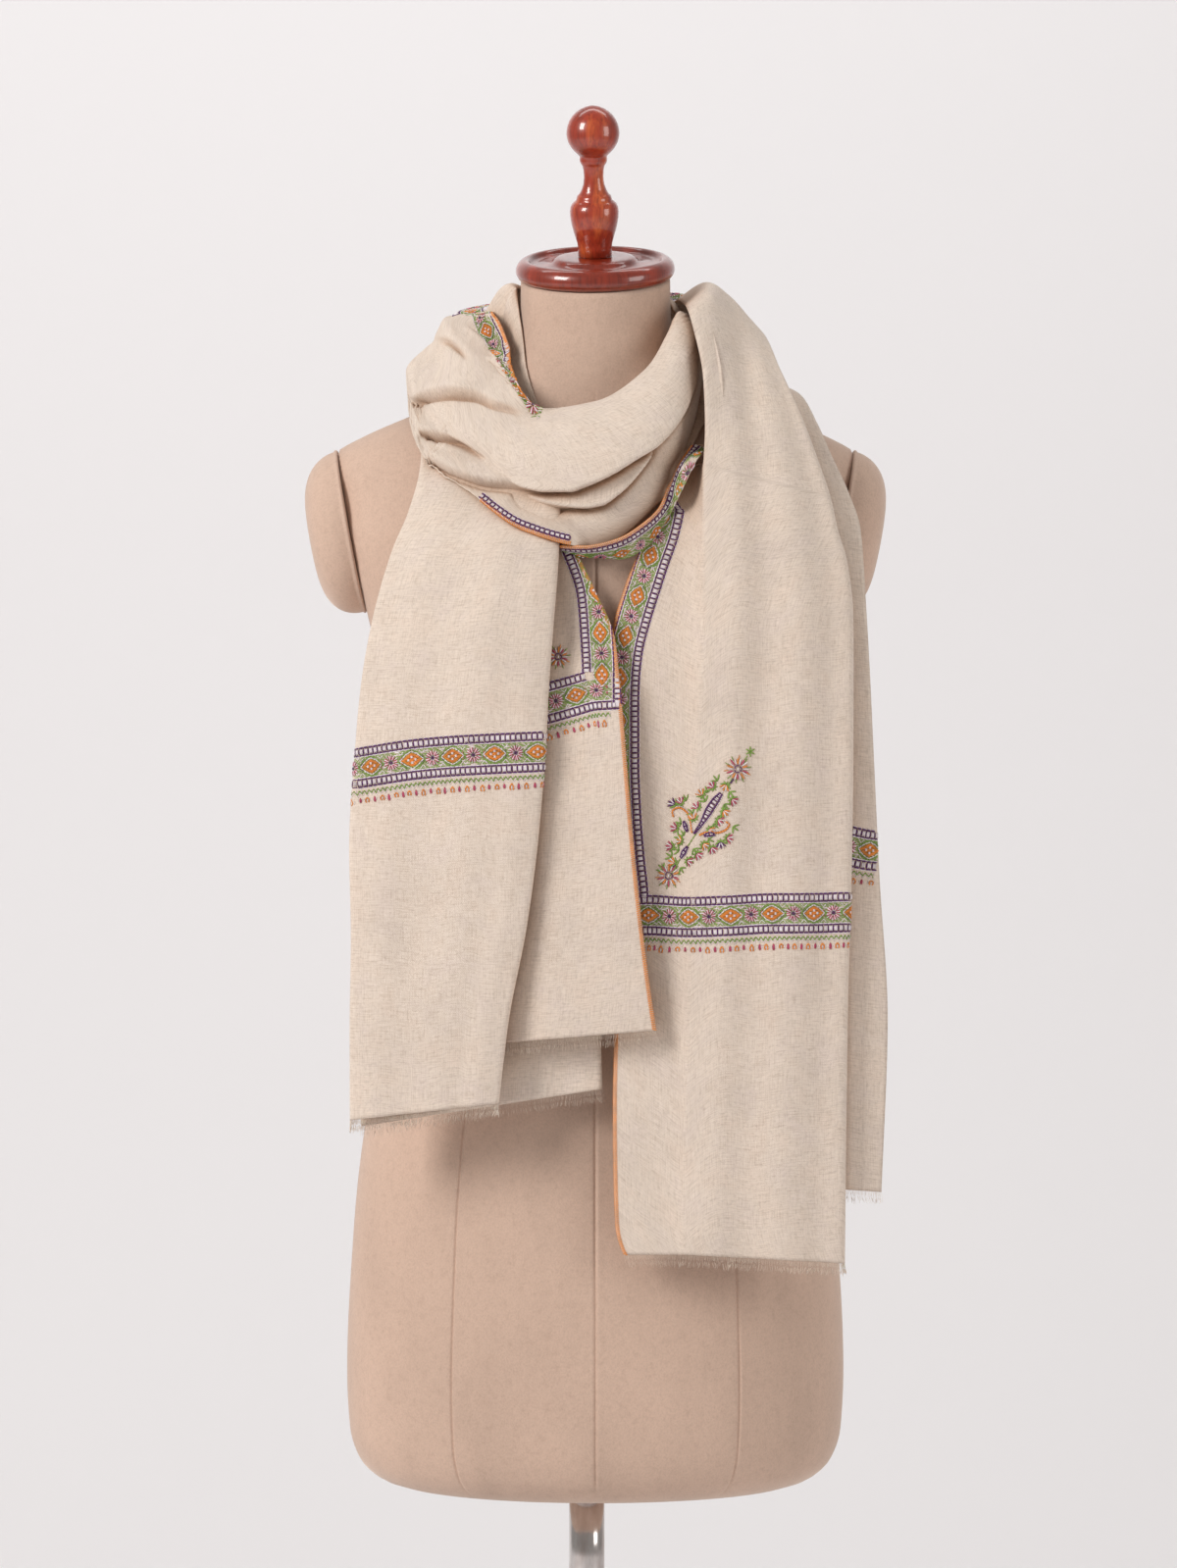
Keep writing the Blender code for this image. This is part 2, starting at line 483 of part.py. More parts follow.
def tail(table, count, across, folds=NO_FOLDS, left_tuck=0.0, right_tuck=0.0, tuck_from=0.25):
    """The grid of a hanging layer. A tucked edge turns round a small radius and runs back behind it."""
    rows = tail_rows(table, count)
    turn = np.linspace(0.0, math.pi, 5)
    grid = []
    for i in range(count):
        down = i / (count - 1)
        left = np.array([rows["lx"][i], rows["ly"][i], rows["lz"][i]])
        right = np.array([rows["rx"][i], rows["ry"][i], rows["rz"][i]])
        share = np.linspace(0.0, 1.0, across)
        line = left + (right - left) * share[:, None]
        push = 4 * share * (1 - share) * rows["swell"][i]
        hang = min(1.0, down / 0.3)
        for fold in folds:
            middle = fold["top"] + (fold["foot"] - fold["top"]) * down
            push = push + hang * fold["deep"] * np.exp(-((share - middle) / fold["wide"]) ** 2)
        line[:, 1] = line[:, 1] - push
        flat = (right - left) / np.linalg.norm(right - left)
        parts = []
        open_up = min(1.0, max(0.0, (down - 0.02) / tuck_from))
        if left_tuck:
            back = left_tuck * (0.35 + 0.65 * open_up)
            arc = [line[0] + flat * (EDGE_TURN * (1 - math.sin(a))) + np.array([0.0, EDGE_TURN * (1 - math.cos(a)), 0.0])
                   for a in turn[::-1]]
            inner = [arc[0] + flat * back, arc[0] + flat * back * 0.5]
            parts = inner + arc[:-1]
            line = line.copy()
            line[0] = arc[-1]
        parts = list(parts) + list(line if not right_tuck else line[:-1])
        if right_tuck:
            back = right_tuck * (0.35 + 0.65 * open_up)
            arc = [line[-1] - flat * (EDGE_TURN * (1 - math.sin(a))) + np.array([0.0, EDGE_TURN * (1 - math.cos(a)), 0.0])
                   for a in turn]
            parts = parts + arc + [arc[-1] - flat * back * 0.5, arc[-1] - flat * back]
        grid.append(parts)
    return np.array(grid)


def right_front_grid(count, across):
    """The right tail: its main width, and left of it the long edge that comes from under the cowl."""
    main = tail(RIGHT_FRONT, count, across, RIGHT_FRONT_FOLDS, 0.0, 14.0)
    # Its first rows leave the nape's stretch on that stretch's own section.
    nape_end = wrap_grid(WRAP[-1]["angle"], WRAP[-1]["angle"], 1, main.shape[1])[0]
    first = main[0].copy()
    for i in range(JOIN_ROWS):
        t = i / JOIN_ROWS
        own = 3 * t * t - 2 * t ** 3
        main[i] = main[i] + (nape_end - first) * (1.0 - own)
    edge_z = column(RIGHT_EDGE, "z")[::-1]
    edge_x = column(RIGHT_EDGE, "x")[::-1]
    edge_y = column(RIGHT_EDGE, "y")[::-1]
    grid = []
    for row in main:
        left = row[0]
        z = left[2]
        if z > edge_z[-1]:
            # Above the place where the long edge shows, the front fold just turns under.
            under = min(1.0, (z - edge_z[-1]) / 60.0)
            reach = 13.0 - 7.0 * under
            strip = [left + np.array([reach * s, 5.4, 0.0]) for s in (1.0, 0.7, 0.4)]
            strip += [left + np.array([1.2, 4.2, 0.0]), left + np.array([-0.8, 2.0, 0.0])]
        else:
            x, y = float(smooth(edge_z, edge_x, z)), float(smooth(edge_z, edge_y, z))
            start = np.array([x, y, z])
            meet = left + np.array([0.0, 0.0, 0.0])
            step = y - left[1]
            strip = []
            for s in (0.0, 0.3, 0.6, 0.85, 0.96):
                ease = s ** 5 if step > 4.0 else s
                strip.append(np.array([x + (meet[0] - x) * s, y - step * ease, z]))
            strip[0] = start
        grid.append(strip + list(row))
    return np.array(grid)


# ---------------------------------------------------------------- the stretches round the neck
# Each row is one section of the outer stretch, at an angle from the front towards the left: the inner edge,
# the rim, the belly and the lower edge, each as a distance from the neck's axis (r) and a height (z).
WRAP = (
    dict(angle=-104.0, inner_r=57.0, inner_z=1368.0, rim_r=60.0, rim_z=1382.0, belly_r=68.0, belly_z=1366.0, low_r=71.0, low_z=1350.0),
    dict(angle=-84.0, inner_r=57.0, inner_z=1372.0, rim_r=61.5, rim_z=1388.0, belly_r=73.0, belly_z=1362.0, low_r=75.0, low_z=1338.0),
    dict(angle=-62.0, inner_r=57.5, inner_z=1368.0, rim_r=66.0, rim_z=1391.0, belly_r=83.0, belly_z=1345.0, low_r=80.0, low_z=1298.0),
    dict(angle=-45.0, inner_r=62.0, inner_z=1350.0, rim_r=72.0, rim_z=1375.0, belly_r=96.0, belly_z=1328.0, low_r=90.0, low_z=1278.0),
    dict(angle=-25.0, inner_r=70.0, inner_z=1326.0, rim_r=80.0, rim_z=1350.0, belly_r=112.0, belly_z=1303.0, low_r=105.0, low_z=1251.0),
    dict(angle=0.0, inner_r=74.0, inner_z=1304.0, rim_r=84.0, rim_z=1329.0, belly_r=119.0, belly_z=1282.0, low_r=113.0, low_z=1231.0),
    dict(angle=25.0, inner_r=68.0, inner_z=1306.0, rim_r=80.0, rim_z=1324.0, belly_r=122.0, belly_z=1286.0, low_r=116.0, low_z=1243.0),
    dict(angle=45.0, inner_r=60.0, inner_z=1324.0, rim_r=82.0, rim_z=1338.0, belly_r=126.0, belly_z=1304.0, low_r=122.0, low_z=1262.0),
    dict(angle=65.0, inner_r=60.0, inner_z=1352.0, rim_r=90.0, rim_z=1360.0, belly_r=130.0, belly_z=1324.0, low_r=131.0, low_z=1292.0),
    dict(angle=90.0, inner_r=66.0, inner_z=1384.0, rim_r=101.0, rim_z=1382.0, belly_r=130.0, belly_z=1350.0, low_r=128.0, low_z=1330.0),
    dict(angle=118.0, inner_r=80.0, inner_z=1399.0, rim_r=108.0, rim_z=1394.0, belly_r=123.0, belly_z=1358.0, low_r=121.0, low_z=1322.0),
    dict(angle=150.0, inner_r=86.0, inner_z=1406.0, rim_r=104.0, rim_z=1408.0, belly_r=118.0, belly_z=1360.0, low_r=126.0, low_z=1292.0),
    dict(angle=180.0, inner_r=86.0, inner_z=1406.0, rim_r=102.0, rim_z=1410.0, belly_r=116.0, belly_z=1360.0, low_r=126.0, low_z=1262.0),
    dict(angle=205.0, inner_r=82.0, inner_z=1403.0, rim_r=100.0, rim_z=1410.0, belly_r=118.0, belly_z=1356.0, low_r=132.0, low_z=1258.0),
    dict(angle=222.0, inner_r=80.0, inner_z=1396.0, rim_r=98.0, rim_z=1402.0, belly_r=120.0, belly_z=1348.0, low_r=138.0, low_z=1282.0),
)
# The inner stretch lies close to the neck, from the left front round the nape to the right.
INNER = (
    dict(angle=40.0, top_r=57.0, top_z=1321.0, foot_r=64.0, foot_z=1300.0),
    dict(angle=55.0, top_r=54.5, top_z=1352.0, foot_r=57.5, foot_z=1312.0),
    dict(angle=75.0, top_r=54.0, top_z=1386.0, foot_r=60.0, foot_z=1335.0),
    dict(angle=92.0, top_r=55.5, top_z=1402.0, foot_r=66.0, foot_z=1352.0),
    dict(angle=120.0, top_r=58.0, top_z=1398.0, foot_r=74.0, foot_z=1345.0),
    dict(angle=150.0, top_r=62.0, top_z=1402.0, foot_r=80.0, foot_z=1335.0),
    dict(angle=180.0, top_r=63.0, top_z=1403.0, foot_r=84.0, foot_z=1330.0),
    dict(angle=210.0, top_r=62.0, top_z=1401.0, foot_r=80.0, foot_z=1335.0),
    dict(angle=240.0, top_r=58.0, top_z=1396.0, foot_r=70.0, foot_z=1345.0),
    dict(angle=251.0, top_r=57.0, top_z=1392.0, foot_r=66.0, foot_z=1350.0),
)
# Creases of the outer stretch: the angles where each runs, its place across the section (0 inner edge,
# 1 lower edge) at both ends, its depth and half width across.
CREASES = (
    dict(start=30.0, end=104.0, s_start=0.30, s_end=0.52, deep=7.0, wide=0.055),
    dict(start=34.0, end=96.0, s_start=0.60, s_end=0.70, deep=5.0, wide=0.05),
    dict(start=-80.0, end=40.0, s_start=0.50, s_end=0.60, deep=4.5, wide=0.05),
    dict(start=-76.0, end=34.0, s_start=0.66, s_end=0.74, deep=5.0, wide=0.05),
    dict(start=110.0, end=218.0, s_start=0.50, s_end=0.56, deep=6.0, wide=0.06),
    dict(start=120.0, end=215.0, s_start=0.76, s_end=0.74, deep=5.0, wide=0.06),
)
NECK_AXIS_Y = -10.0


def round_neck(angle, radius, height):
    a = np.radians(angle)
    return np.stack([-radius * np.sin(a), NECK_AXIS_Y - radius * np.cos(a), height], axis=-1)


def wrap_grid(first, last, count, across):
    angles = np.linspace(first, last, count)
    knots = column(WRAP, "angle")
    grid = []
    for angle in angles:
        at = {name: float(smooth(knots, column(WRAP, name), angle)) for name in WRAP[0] if name != "angle"}
        shoulder_r = (at["rim_r"] * 0.45 + at["belly_r"] * 0.55) + 4.0
        shoulder_z = at["rim_z"] * 0.55 + at["belly_z"] * 0.45 + 4.0
        section = [(at["inner_r"], at["inner_z"]), (at["rim_r"], at["rim_z"]), (shoulder_r, shoulder_z),
                   (at["belly_r"], at["belly_z"]), (at["low_r"], at["low_z"])]
        line = through(section, across)
        share = np.linspace(0.0, 1.0, across)
        tangent = np.gradient(line, axis=0)
        tangent /= np.linalg.norm(tangent, axis=1)[:, None]
        out = np.stack([-tangent[:, 1], tangent[:, 0]], axis=1)
        for crease in CREASES:
            span = crease["end"] - crease["start"]
            t = (angle - crease["start"]) / span
            if not 0.0 < t < 1.0:
                continue
            s = crease["s_start"] + (crease["s_end"] - crease["s_start"]) * t
            size = crease["deep"] * math.sin(math.pi * t) ** 0.6
            line = line - out * (size * np.exp(-((share - s) / crease["wide"]) ** 2))[:, None]
        grid.append(round_neck(np.full(across, angle), line[:, 0], line[:, 1]))
    return np.array(grid)


def inner_grid(count, across):
    angles = np.linspace(INNER[0]["angle"], INNER[-1]["angle"], count)
    knots = column(INNER, "angle")
    at = {name: smooth(knots, column(INNER, name), angles) for name in INNER[0] if name != "angle"}
    grid = []
    for i, angle in enumerate(angles):
        s = np.linspace(0.0, 1.0, across)
        r = at["top_r"][i] + (at["foot_r"][i] - at["top_r"][i]) * s ** 1.4
        z = at["top_z"][i] + (at["foot_z"][i] - at["top_z"][i]) * s
        grid.append(round_neck(np.full(across, angle), r, z))
    return np.array(grid)


# The turned edge that hangs under the cowl's lower edge: how far it hangs, and how far it lies behind.
TURNED_EDGE = (
    dict(angle=6.0, hang=2.0, behind=2.5),
    dict(angle=-6.0, hang=7.0, behind=3.0),
    dict(angle=-16.0, hang=12.0, behind=3.5),
    dict(angle=-28.0, hang=13.0, behind=4.0),
    dict(angle=-42.0, hang=11.0, behind=4.0),
)


def turned_edge_grid(count):
    angles = np.linspace(TURNED_EDGE[0]["angle"], TURNED_EDGE[-1]["angle"], count)
    hang = smooth(-column(TURNED_EDGE, "angle"), column(TURNED_EDGE, "hang"), -angles)
    behind = smooth(-column(TURNED_EDGE, "angle"), column(TURNED_EDGE, "behind"), -angles)
    knots = column(WRAP, "angle")
    grid = []
    for i, angle in enumerate(angles):
        r = float(smooth(knots, column(WRAP, "low_r"), angle))
        z = float(smooth(knots, column(WRAP, "low_z"), angle))
        grid.append([round_neck(angle, r - behind[i], z + lift) for lift in (10.0, 3.0, -hang[i] * 0.5, -hang[i])])
    return np.array(grid)


# ---------------------------------------------------------------- fringes
FRINGE_REACH = 6.5
FRINGE_WALL = 1.0


def fringe_of(grid, first=0, last=None):
    """A strip as deep as the fringe, 0.3 mm below the last row of a layer."""
    foot = grid[-1][first:last]
    rise = grid[-2][first:last] - foot
    up = rise / np.linalg.norm(rise, axis=1)[:, None]
    return np.array([foot - up * 0.3, foot - up * (0.3 + FRINGE_REACH / 2), foot - up * (0.3 + FRINGE_REACH)])


def build_shawl(mats, group):
    front = lay_on_form(carry(tail(LEFT_FRONT, 17, 12, LEFT_FRONT_FOLDS, LEFT_TUCK, 10.0)), FORM_GAP + 2.0)
    side = lay_on_form(carry(tail(LEFT_SIDE, 13, 7)), FORM_GAP + 1.0)
    back = lay_on_form(carry(tail(LEFT_BACK, 8, 7)), FORM_GAP)
    right = lay_on_form(carry(right_front_grid(24, 11)), FORM_GAP + 2.0)
    behind = lay_on_form(carry(tail(RIGHT_BACK, 14, 6)), FORM_GAP)
    cowl = lay_on_form(carry(wrap_grid(-104.0, 103.9, 32, 20)), FORM_GAP + 5.0)
    nape = lay_on_form(carry(wrap_grid(104.2, 220.8, 17, 18)), FORM_GAP + 4.0)
    inner = lay_on_form(carry(inner_grid(26, 6)), FORM_GAP)
    hem = lay_on_form(carry(turned_edge_grid(9)), FORM_GAP + 3.0)
    low_rows = right[:, 0, 2].argsort()[:int((right[:, 0, 2] < TUCK_TOP).sum())]
    low_rows.sort()
    tucked = right[low_rows][:, :7]
    above = low_rows[0]
    front = lay_over(front, [inner], 2.6)
    hem = lay_over(hem, [side, tucked], 2.4)
    cowl = lay_over(cowl, [front, side, tucked, hem, inner], 3.2)
    before = right[:above, 6].copy()
    right[:, 6:] = lay_over(right[:, 6:], [cowl, behind], 3.6)
    right[:above, 5:10] = lay_over(right[:above, 5:10], [cowl], 9.5)
    right[:above, :5] += (right[:above, 6] - before)[:, None]
    for name, grid in (("left_tail_front", front), ("left_tail_side", side), ("left_tail_back", back),
                       ("right_tail_front", right), ("right_tail_back", behind), ("neck_cowl", cowl),
                       ("neck_nape", nape), ("neck_inner", inner), ("cowl_turned_edge", hem)):
        cloth(name, grid, mats["pashmina"], group)
    for name, grid in (("fringe_left_front", fringe_of(front)), ("fringe_left_side", fringe_of(side)),
                       ("fringe_left_back", fringe_of(back)), ("fringe_right_front", fringe_of(right)),
                       ("fringe_right_back", fringe_of(behind))):
        cloth(name, grid, mats["fringe"], group, FRINGE_WALL)


def main():
    clear_scene()
    group = collection("pashmina_shawl_on_dress_form")
    helpers = collection("cutters", helper=True)
    mats = dict(
        jersey=material("jersey", (0.61, 0.45, 0.36), 0.85),
        pashmina=material("pashmina", (0.79, 0.69, 0.56), 0.9),
        fringe=material("fringe", (0.80, 0.71, 0.60), 0.9),
        wood=material("wood", (0.16, 0.025, 0.012), 0.22),
        chrome=material("chrome", (0.72, 0.71, 0.70), 0.14, 1.0),
        base_metal=material("base_metal", (0.62, 0.61, 0.60), 0.3, 1.0),
    )
    build_form(mats, group, helpers)
    build_stand(mats, group)
    build_shawl(mats, group)


main()
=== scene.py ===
"""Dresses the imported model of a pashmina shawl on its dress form: the worn cloth with its folds, the worked
borders and sprays stitch by stitch, the overcast long edges, the fringes, the velvet form, wood and chrome."""

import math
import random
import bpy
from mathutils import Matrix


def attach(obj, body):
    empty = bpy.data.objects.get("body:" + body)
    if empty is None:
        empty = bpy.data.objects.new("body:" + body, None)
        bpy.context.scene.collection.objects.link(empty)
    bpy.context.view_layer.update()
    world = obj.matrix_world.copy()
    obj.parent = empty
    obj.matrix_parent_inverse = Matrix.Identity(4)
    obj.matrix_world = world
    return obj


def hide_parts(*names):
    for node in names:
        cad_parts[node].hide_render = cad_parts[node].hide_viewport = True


bl_info = {
    "name": "Pashmina shawl on a dress form",
    "version": (1, 0, 0),
    "blender": (4, 5, 0),
    "location": "3D View > Sidebar > Shawl",
    "description": "Builds a wound pashmina shawl with worked borders on a limbless dress form",
    "category": "Object",
}

import bmesh
import bpy
import numpy as np
from bpy.props import FloatProperty, FloatVectorProperty, IntProperty, PointerProperty
from mathutils import Vector

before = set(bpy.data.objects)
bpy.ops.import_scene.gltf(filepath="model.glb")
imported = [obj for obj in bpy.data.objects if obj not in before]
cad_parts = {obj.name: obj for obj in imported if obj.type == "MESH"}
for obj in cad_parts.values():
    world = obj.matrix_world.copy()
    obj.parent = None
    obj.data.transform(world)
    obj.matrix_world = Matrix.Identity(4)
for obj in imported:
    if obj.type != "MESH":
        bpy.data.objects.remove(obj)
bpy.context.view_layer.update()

MM = 0.001
TINY = 1e-9
EYE_AWAY = 4000.0
EYE_HEIGHT = 1300.0
BODY_SHIFT = 6.0
FORM_GAP = 1.6
NECK_TILT = math.radians(12.0)
NECK_ROLL = math.radians(1.0)
NECK_TOP = (0.0, -13.0, 1413.0)
NECK_AXIS_Y = -10.0


def tabled(names, *rows):
    """Rows of sizes in mm, each as a dictionary with the names of the columns."""
    return [dict(zip(names.split(), map(float, row))) for row in rows]


# ------------------------------------------------------------------ sizes of the body, as in the part
BODY_RINGS = tabled(
    "z half_w half_d back",
    (575, 118, 70, 0), (577.5, 138, 88, 0), (584, 154, 102, 0), (596, 165, 112, 0), (615, 171, 117, 0),
    (655, 173, 119, 0), (750, 168.5, 115, 0), (827, 160, 106, -2), (900, 140, 94, -7), (960, 126, 85, -11),
    (1020, 127, 90, -13), (1080, 137, 102, -14), (1130, 147, 107, -13), (1184, 158, 105, -8), (1215, 176, 102, -5),
    (1245, 189, 97, -2), (1272, 189, 90, 0), (1293, 180, 82, 1), (1306, 158, 76, 2), (1319, 128, 70, 2),
    (1334, 93, 64, 0), (1350, 67, 59, -3), (1368, 55, 54.5, -7), (1388, 51.8, 51.8, -10), (1412.7, 51.3, 51.3, -13),
)
ARMHOLE_TOP = (178.0, 1296.0)
ARMHOLE_FOOT = (157.5, 1184.0)
ARMHOLE_RUN, ARMHOLE_FALL = ARMHOLE_TOP[0] - ARMHOLE_FOOT[0], ARMHOLE_TOP[1] - ARMHOLE_FOOT[1]
CAP_HALF_DEPTH = 50.0
CAP_BULGE = 29.0

# ------------------------------------------------------------------ hanging layers: edges and depth at each level
LEFT_FRONT = tabled(
    "lx lz ly rx rz ry swell",
    (-112, 1330, -20, -62, 1338, -48, 4), (-119, 1306, -62, -40, 1322, -87, 5), (-122, 1280, -88, -29, 1290, -104, 6),
    (-130, 1252, -103, -24, 1256, -120, 7), (-141, 1226, -112, -25, 1226, -131, 8),
    (-156, 1172, -121, -29, 1172, -144, 8), (-163, 1130, -126, -32, 1130, -149, 8),
    (-167, 1086, -129, -34, 1092, -151, 7), (-171, 1020, -131, -39, 1030, -152, 7),
    (-170, 960, -132, -47, 968, -152, 6), (-171, 890, -133, -60, 900, -152, 6), (-171, 830, -134, -67, 842, -151, 5),
)
LEFT_SIDE = tabled(
    "lx lz ly rx rz ry swell",
    (-70, 1262, -95.5, -30, 1262, -102, 1), (-66, 1230, -106, -15.5, 1230, -113, 1),
    (-66, 1200, -114, -1, 1200, -122, 1), (-68, 1166, -121, 13, 1166, -131, 1), (-72, 1132, -126, 17, 1132, -141, 2),
    (-74, 1091, -129, 20.5, 1091, -145, 2), (-76, 1042, -131, 24.5, 1042, -146, 3),
    (-80, 976, -132, 31, 976, -146, 3), (-86, 920, -133, 38, 920, -145, 3), (-89, 882, -133, 42, 893, -144, 3),
)
LEFT_BACK = tabled(
    "lx lz ly rx rz ry swell",
    (-150, 1160, -113, -24, 1160, -121, 1), (-156, 1100, -118, -20, 1100, -124.5, 1),
    (-160, 1000, -120, -10, 1000, -126.5, 1), (-162, 900, -121, 3, 900, -126.5, 1),
    (-163, 826, -121, 5, 852, -126, 1),
)
RIGHT_FRONT = tabled(
    "lx lz ly rx rz ry swell",
    (57, 1398, 47, 98, 1283, 91, -8), (60, 1401, 26, 118, 1316, 56, -9), (64, 1397, -10, 129, 1346, 4, -7),
    (70, 1376, -50, 136, 1334, -46, -2), (75, 1346, -80, 146, 1312, -72, 2), (76, 1312, -101, 155, 1286, -88, 4),
    (75, 1284, -113, 163, 1262, -98, 5), (75.5, 1254, -122, 168, 1240, -106, 6), (76, 1226, -129, 174, 1220, -112, 6),
    (76, 1186, -135, 178.5, 1184, -119, 6), (75, 1150, -138, 179, 1150, -123, 6),
    (72, 1086, -138.5, 179, 1086, -127, 6), (68, 1000, -138.5, 178, 1000, -130, 6),
    (66, 920, -138.5, 176, 920, -131, 6), (64, 840, -139, 175, 840, -132, 6), (62, 736, -139, 174, 730, -132, 5),
)
RIGHT_EDGE = tabled(
    "z x y",
    (1284, 62, -92), (1254, 46, -103), (1226, 31, -111), (1196, 19, -117), (1168, 12, -121), (1132, 11, -125.5),
    (1086, 11, -128.5), (1000, 13, -130), (920, 14, -130.5), (840, 12.5, -132), (760, 14, -134), (736, 20, -135),
    (729, 31, -135),
)
RIGHT_BACK = tabled(
    "lx lz ly rx rz ry swell",
    (96, 1350, -4, 127, 1341, -2, 0), (102, 1344, -28, 141, 1334, -22, 0), (108, 1326, -58, 153, 1314, -50, 0),
    (116, 1290, -82, 163, 1292, -64, 1), (122, 1262, -93, 175, 1266, -74, 2), (128, 1236, -103, 183, 1242, -83, 2),
    (130, 1190, -112, 187, 1190, -96, 2), (132, 1140, -116, 190, 1140, -104, 2),
    (134, 1080, -118, 193, 1080, -109, 2), (136, 1000, -120, 197, 1000, -113, 2), (138, 900, -121, 203, 900, -115, 2),
    (140, 784, -122, 199, 780, -116, 2),
)
LEFT_FRONT_FOLDS = tabled(
    "top foot deep wide",
    (0.22, 0.15, 1.6, 0.08), (0.46, 0.33, -2.2, 0.12), (0.7, 0.58, 1.8, 0.11), (0.9, 0.84, 1.8, 0.06),
)
LEFT_SIDE_FOLDS = tabled(
    "top foot deep wide",
    (0.3, 0.42, 1.4, 0.1), (0.58, 0.66, -1.6, 0.09),
)
RIGHT_FRONT_FOLDS = tabled(
    "top foot deep wide",
    (0.26, 0.16, 2.4, 0.09), (0.45, 0.38, -2.6, 0.1), (0.68, 0.62, 2.6, 0.11), (0.88, 0.84, -2, 0.06),
)
RIGHT_BACK_FOLDS = tabled(
    "top foot deep wide",
    (0.45, 0.55, 2, 0.1),
)
EDGE_TURN = 3.2
TUCK_TOP = 1276.0
JOIN_SHARE = 0.26
LEFT_TUCK = 46.0
STRIP_COLUMNS = 22  # of the right tail, between its long edge and its fold
COWL_HALF = 104.0  # degrees to either side of the front
FRONT_HALF = 12.0  # depth as far as which creases and folds count as in front

# ------------------------------------------------------------------ stretches round the neck
WRAP = tabled(
    "angle inner_r inner_z rim_r rim_z belly_r belly_z low_r low_z",
    (-104, 57, 1368, 60, 1382, 68, 1366, 71, 1350), (-84, 57, 1372, 61.5, 1388, 73, 1362, 75, 1338),
    (-62, 57.5, 1368, 66, 1391, 83, 1347, 79, 1304), (-45, 62, 1350, 72, 1375, 96, 1331, 88, 1288),
    (-25, 70, 1326, 80, 1350, 112, 1306, 103, 1259), (0, 74, 1304, 84, 1329, 119, 1284, 111, 1228.5),
    (25, 68, 1306, 80, 1324, 122, 1286, 115, 1240.5), (45, 60, 1324, 82, 1338, 126, 1304, 121, 1266),
    (65, 60, 1352, 90, 1360, 130, 1324, 131, 1292), (90, 66, 1384, 101, 1382, 130, 1350, 128, 1330),
    (118, 80, 1394, 108, 1391, 123, 1358, 121, 1322), (150, 86, 1396, 104, 1398, 118, 1360, 119, 1292),
    (180, 86, 1397, 102, 1400, 116, 1360, 115, 1264), (205, 82, 1398, 100, 1404, 118, 1356, 119, 1260),
    (222, 80, 1396, 98, 1402, 120, 1348, 129, 1283),
)
INNER = tabled(
    "angle top_r top_z foot_r foot_z",
    (36, 58, 1312, 62, 1302), (46, 55.5, 1333, 58, 1312), (58, 54, 1357, 58, 1328), (75, 53.6, 1386, 61, 1356),
    (92, 54.5, 1406, 66, 1378), (106, 56, 1407, 82, 1384), (120, 58, 1407, 88, 1385), (150, 62, 1408, 88, 1388),
    (180, 63, 1408, 87, 1389), (210, 62, 1406, 82, 1393), (240, 58, 1398, 74, 1380), (251, 57, 1392, 70, 1374),
)
# Soft round-the-neck folds: angles, place across the section at both ends, depth, half width.
WRAP_FOLDS = tabled(
    "start end s_start s_end deep wide",
    (98, 220, 0.48, 0.58, 8, 0.06), (118, 216, 0.8, 0.7, 6.5, 0.05), (128, 206, 0.34, 0.42, 4.5, 0.04),
    (106, 170, 0.92, 0.84, 3, 0.045), (144, 219, 0.93, 0.86, -3.5, 0.05), (100, 150, 0.3, 0.26, 2.5, 0.04),
)
BAND_FOLD = 4  # the crease below which hides the band behind a plain fold
# Creases of the cowl as they run over its front: (x, height) points from left to right, how far the cloth above
# stands out over the line, how far the cloth below falls back, and over what distance.
COWL_CREASES = (
    dict(run=((-128, 1328), (-114, 1334), (-100, 1336), (-83, 1334), (-70, 1328), (-58, 1324), (-50, 1320)),
         above=4.0, below=4.5, over=16.0, under=18.0, lead=5.0, fade=48.0, groove=6.0),
    dict(run=((-122, 1309), (-107, 1306), (-92, 1301), (-82, 1295), (-74, 1290)),
         above=3.0, below=3.5, over=14.0, under=14.0, lead=5.0, fade=36.0, groove=6.0),
    dict(run=((-117, 1292), (-97, 1280), (-76, 1273), (-58, 1271), (-46, 1269), (-35, 1267), (-18, 1267), (-8, 1270),
              (12, 1279), (26, 1288), (45, 1301), (55, 1313), (63, 1327), (69, 1348), (70, 1362), (69, 1379),
              (64, 1392)), above=6.0, below=5.0, over=18.0, under=9.0, lead=6.0, fade=16.0, groove=5.5),
    dict(run=((-57, 1270), (-46, 1264), (-35, 1259), (-23, 1256), (-8, 1255), (5, 1257), (16, 1264), (24, 1271),
              (32, 1280), (42, 1293), (46, 1301)), above=3.5, below=6.0, over=6.0, under=9.0, fade=10.0),
    dict(run=((-89, 1381), (-79, 1372), (-71, 1363), (-63, 1350), (-55, 1337), (-45, 1322)),
         above=-1.0, below=-3.0, over=5.0, under=8.0, fade=10.0, groove=0.0),
    dict(run=((-114, 1373), (-104, 1372), (-94, 1366), (-86, 1357)),
         above=2.0, below=2.0, over=7.0, under=7.0, fade=12.0, groove=3.0),
)
# The shawl's long edge turned over under the cowl: its overcast edge and its fold, from left to right.
TURNED_EDGE = tabled(
    "ox oz oy fx fz fy",
    (-24, 1230, -126, -24, 1227, -118), (-8, 1229.5, -129, -7, 1222.5, -115.5), (14, 1234, -128, 18, 1221, -111.5),
    (32, 1244.5, -121, 33, 1227.5, -106.5), (44, 1256, -113, 49.5, 1248, -99), (50.5, 1271, -105, 63, 1276, -90.5),
    (57, 1284, -97, 69, 1288, -87), (66, 1299, -88, 80, 1300, -80),
)


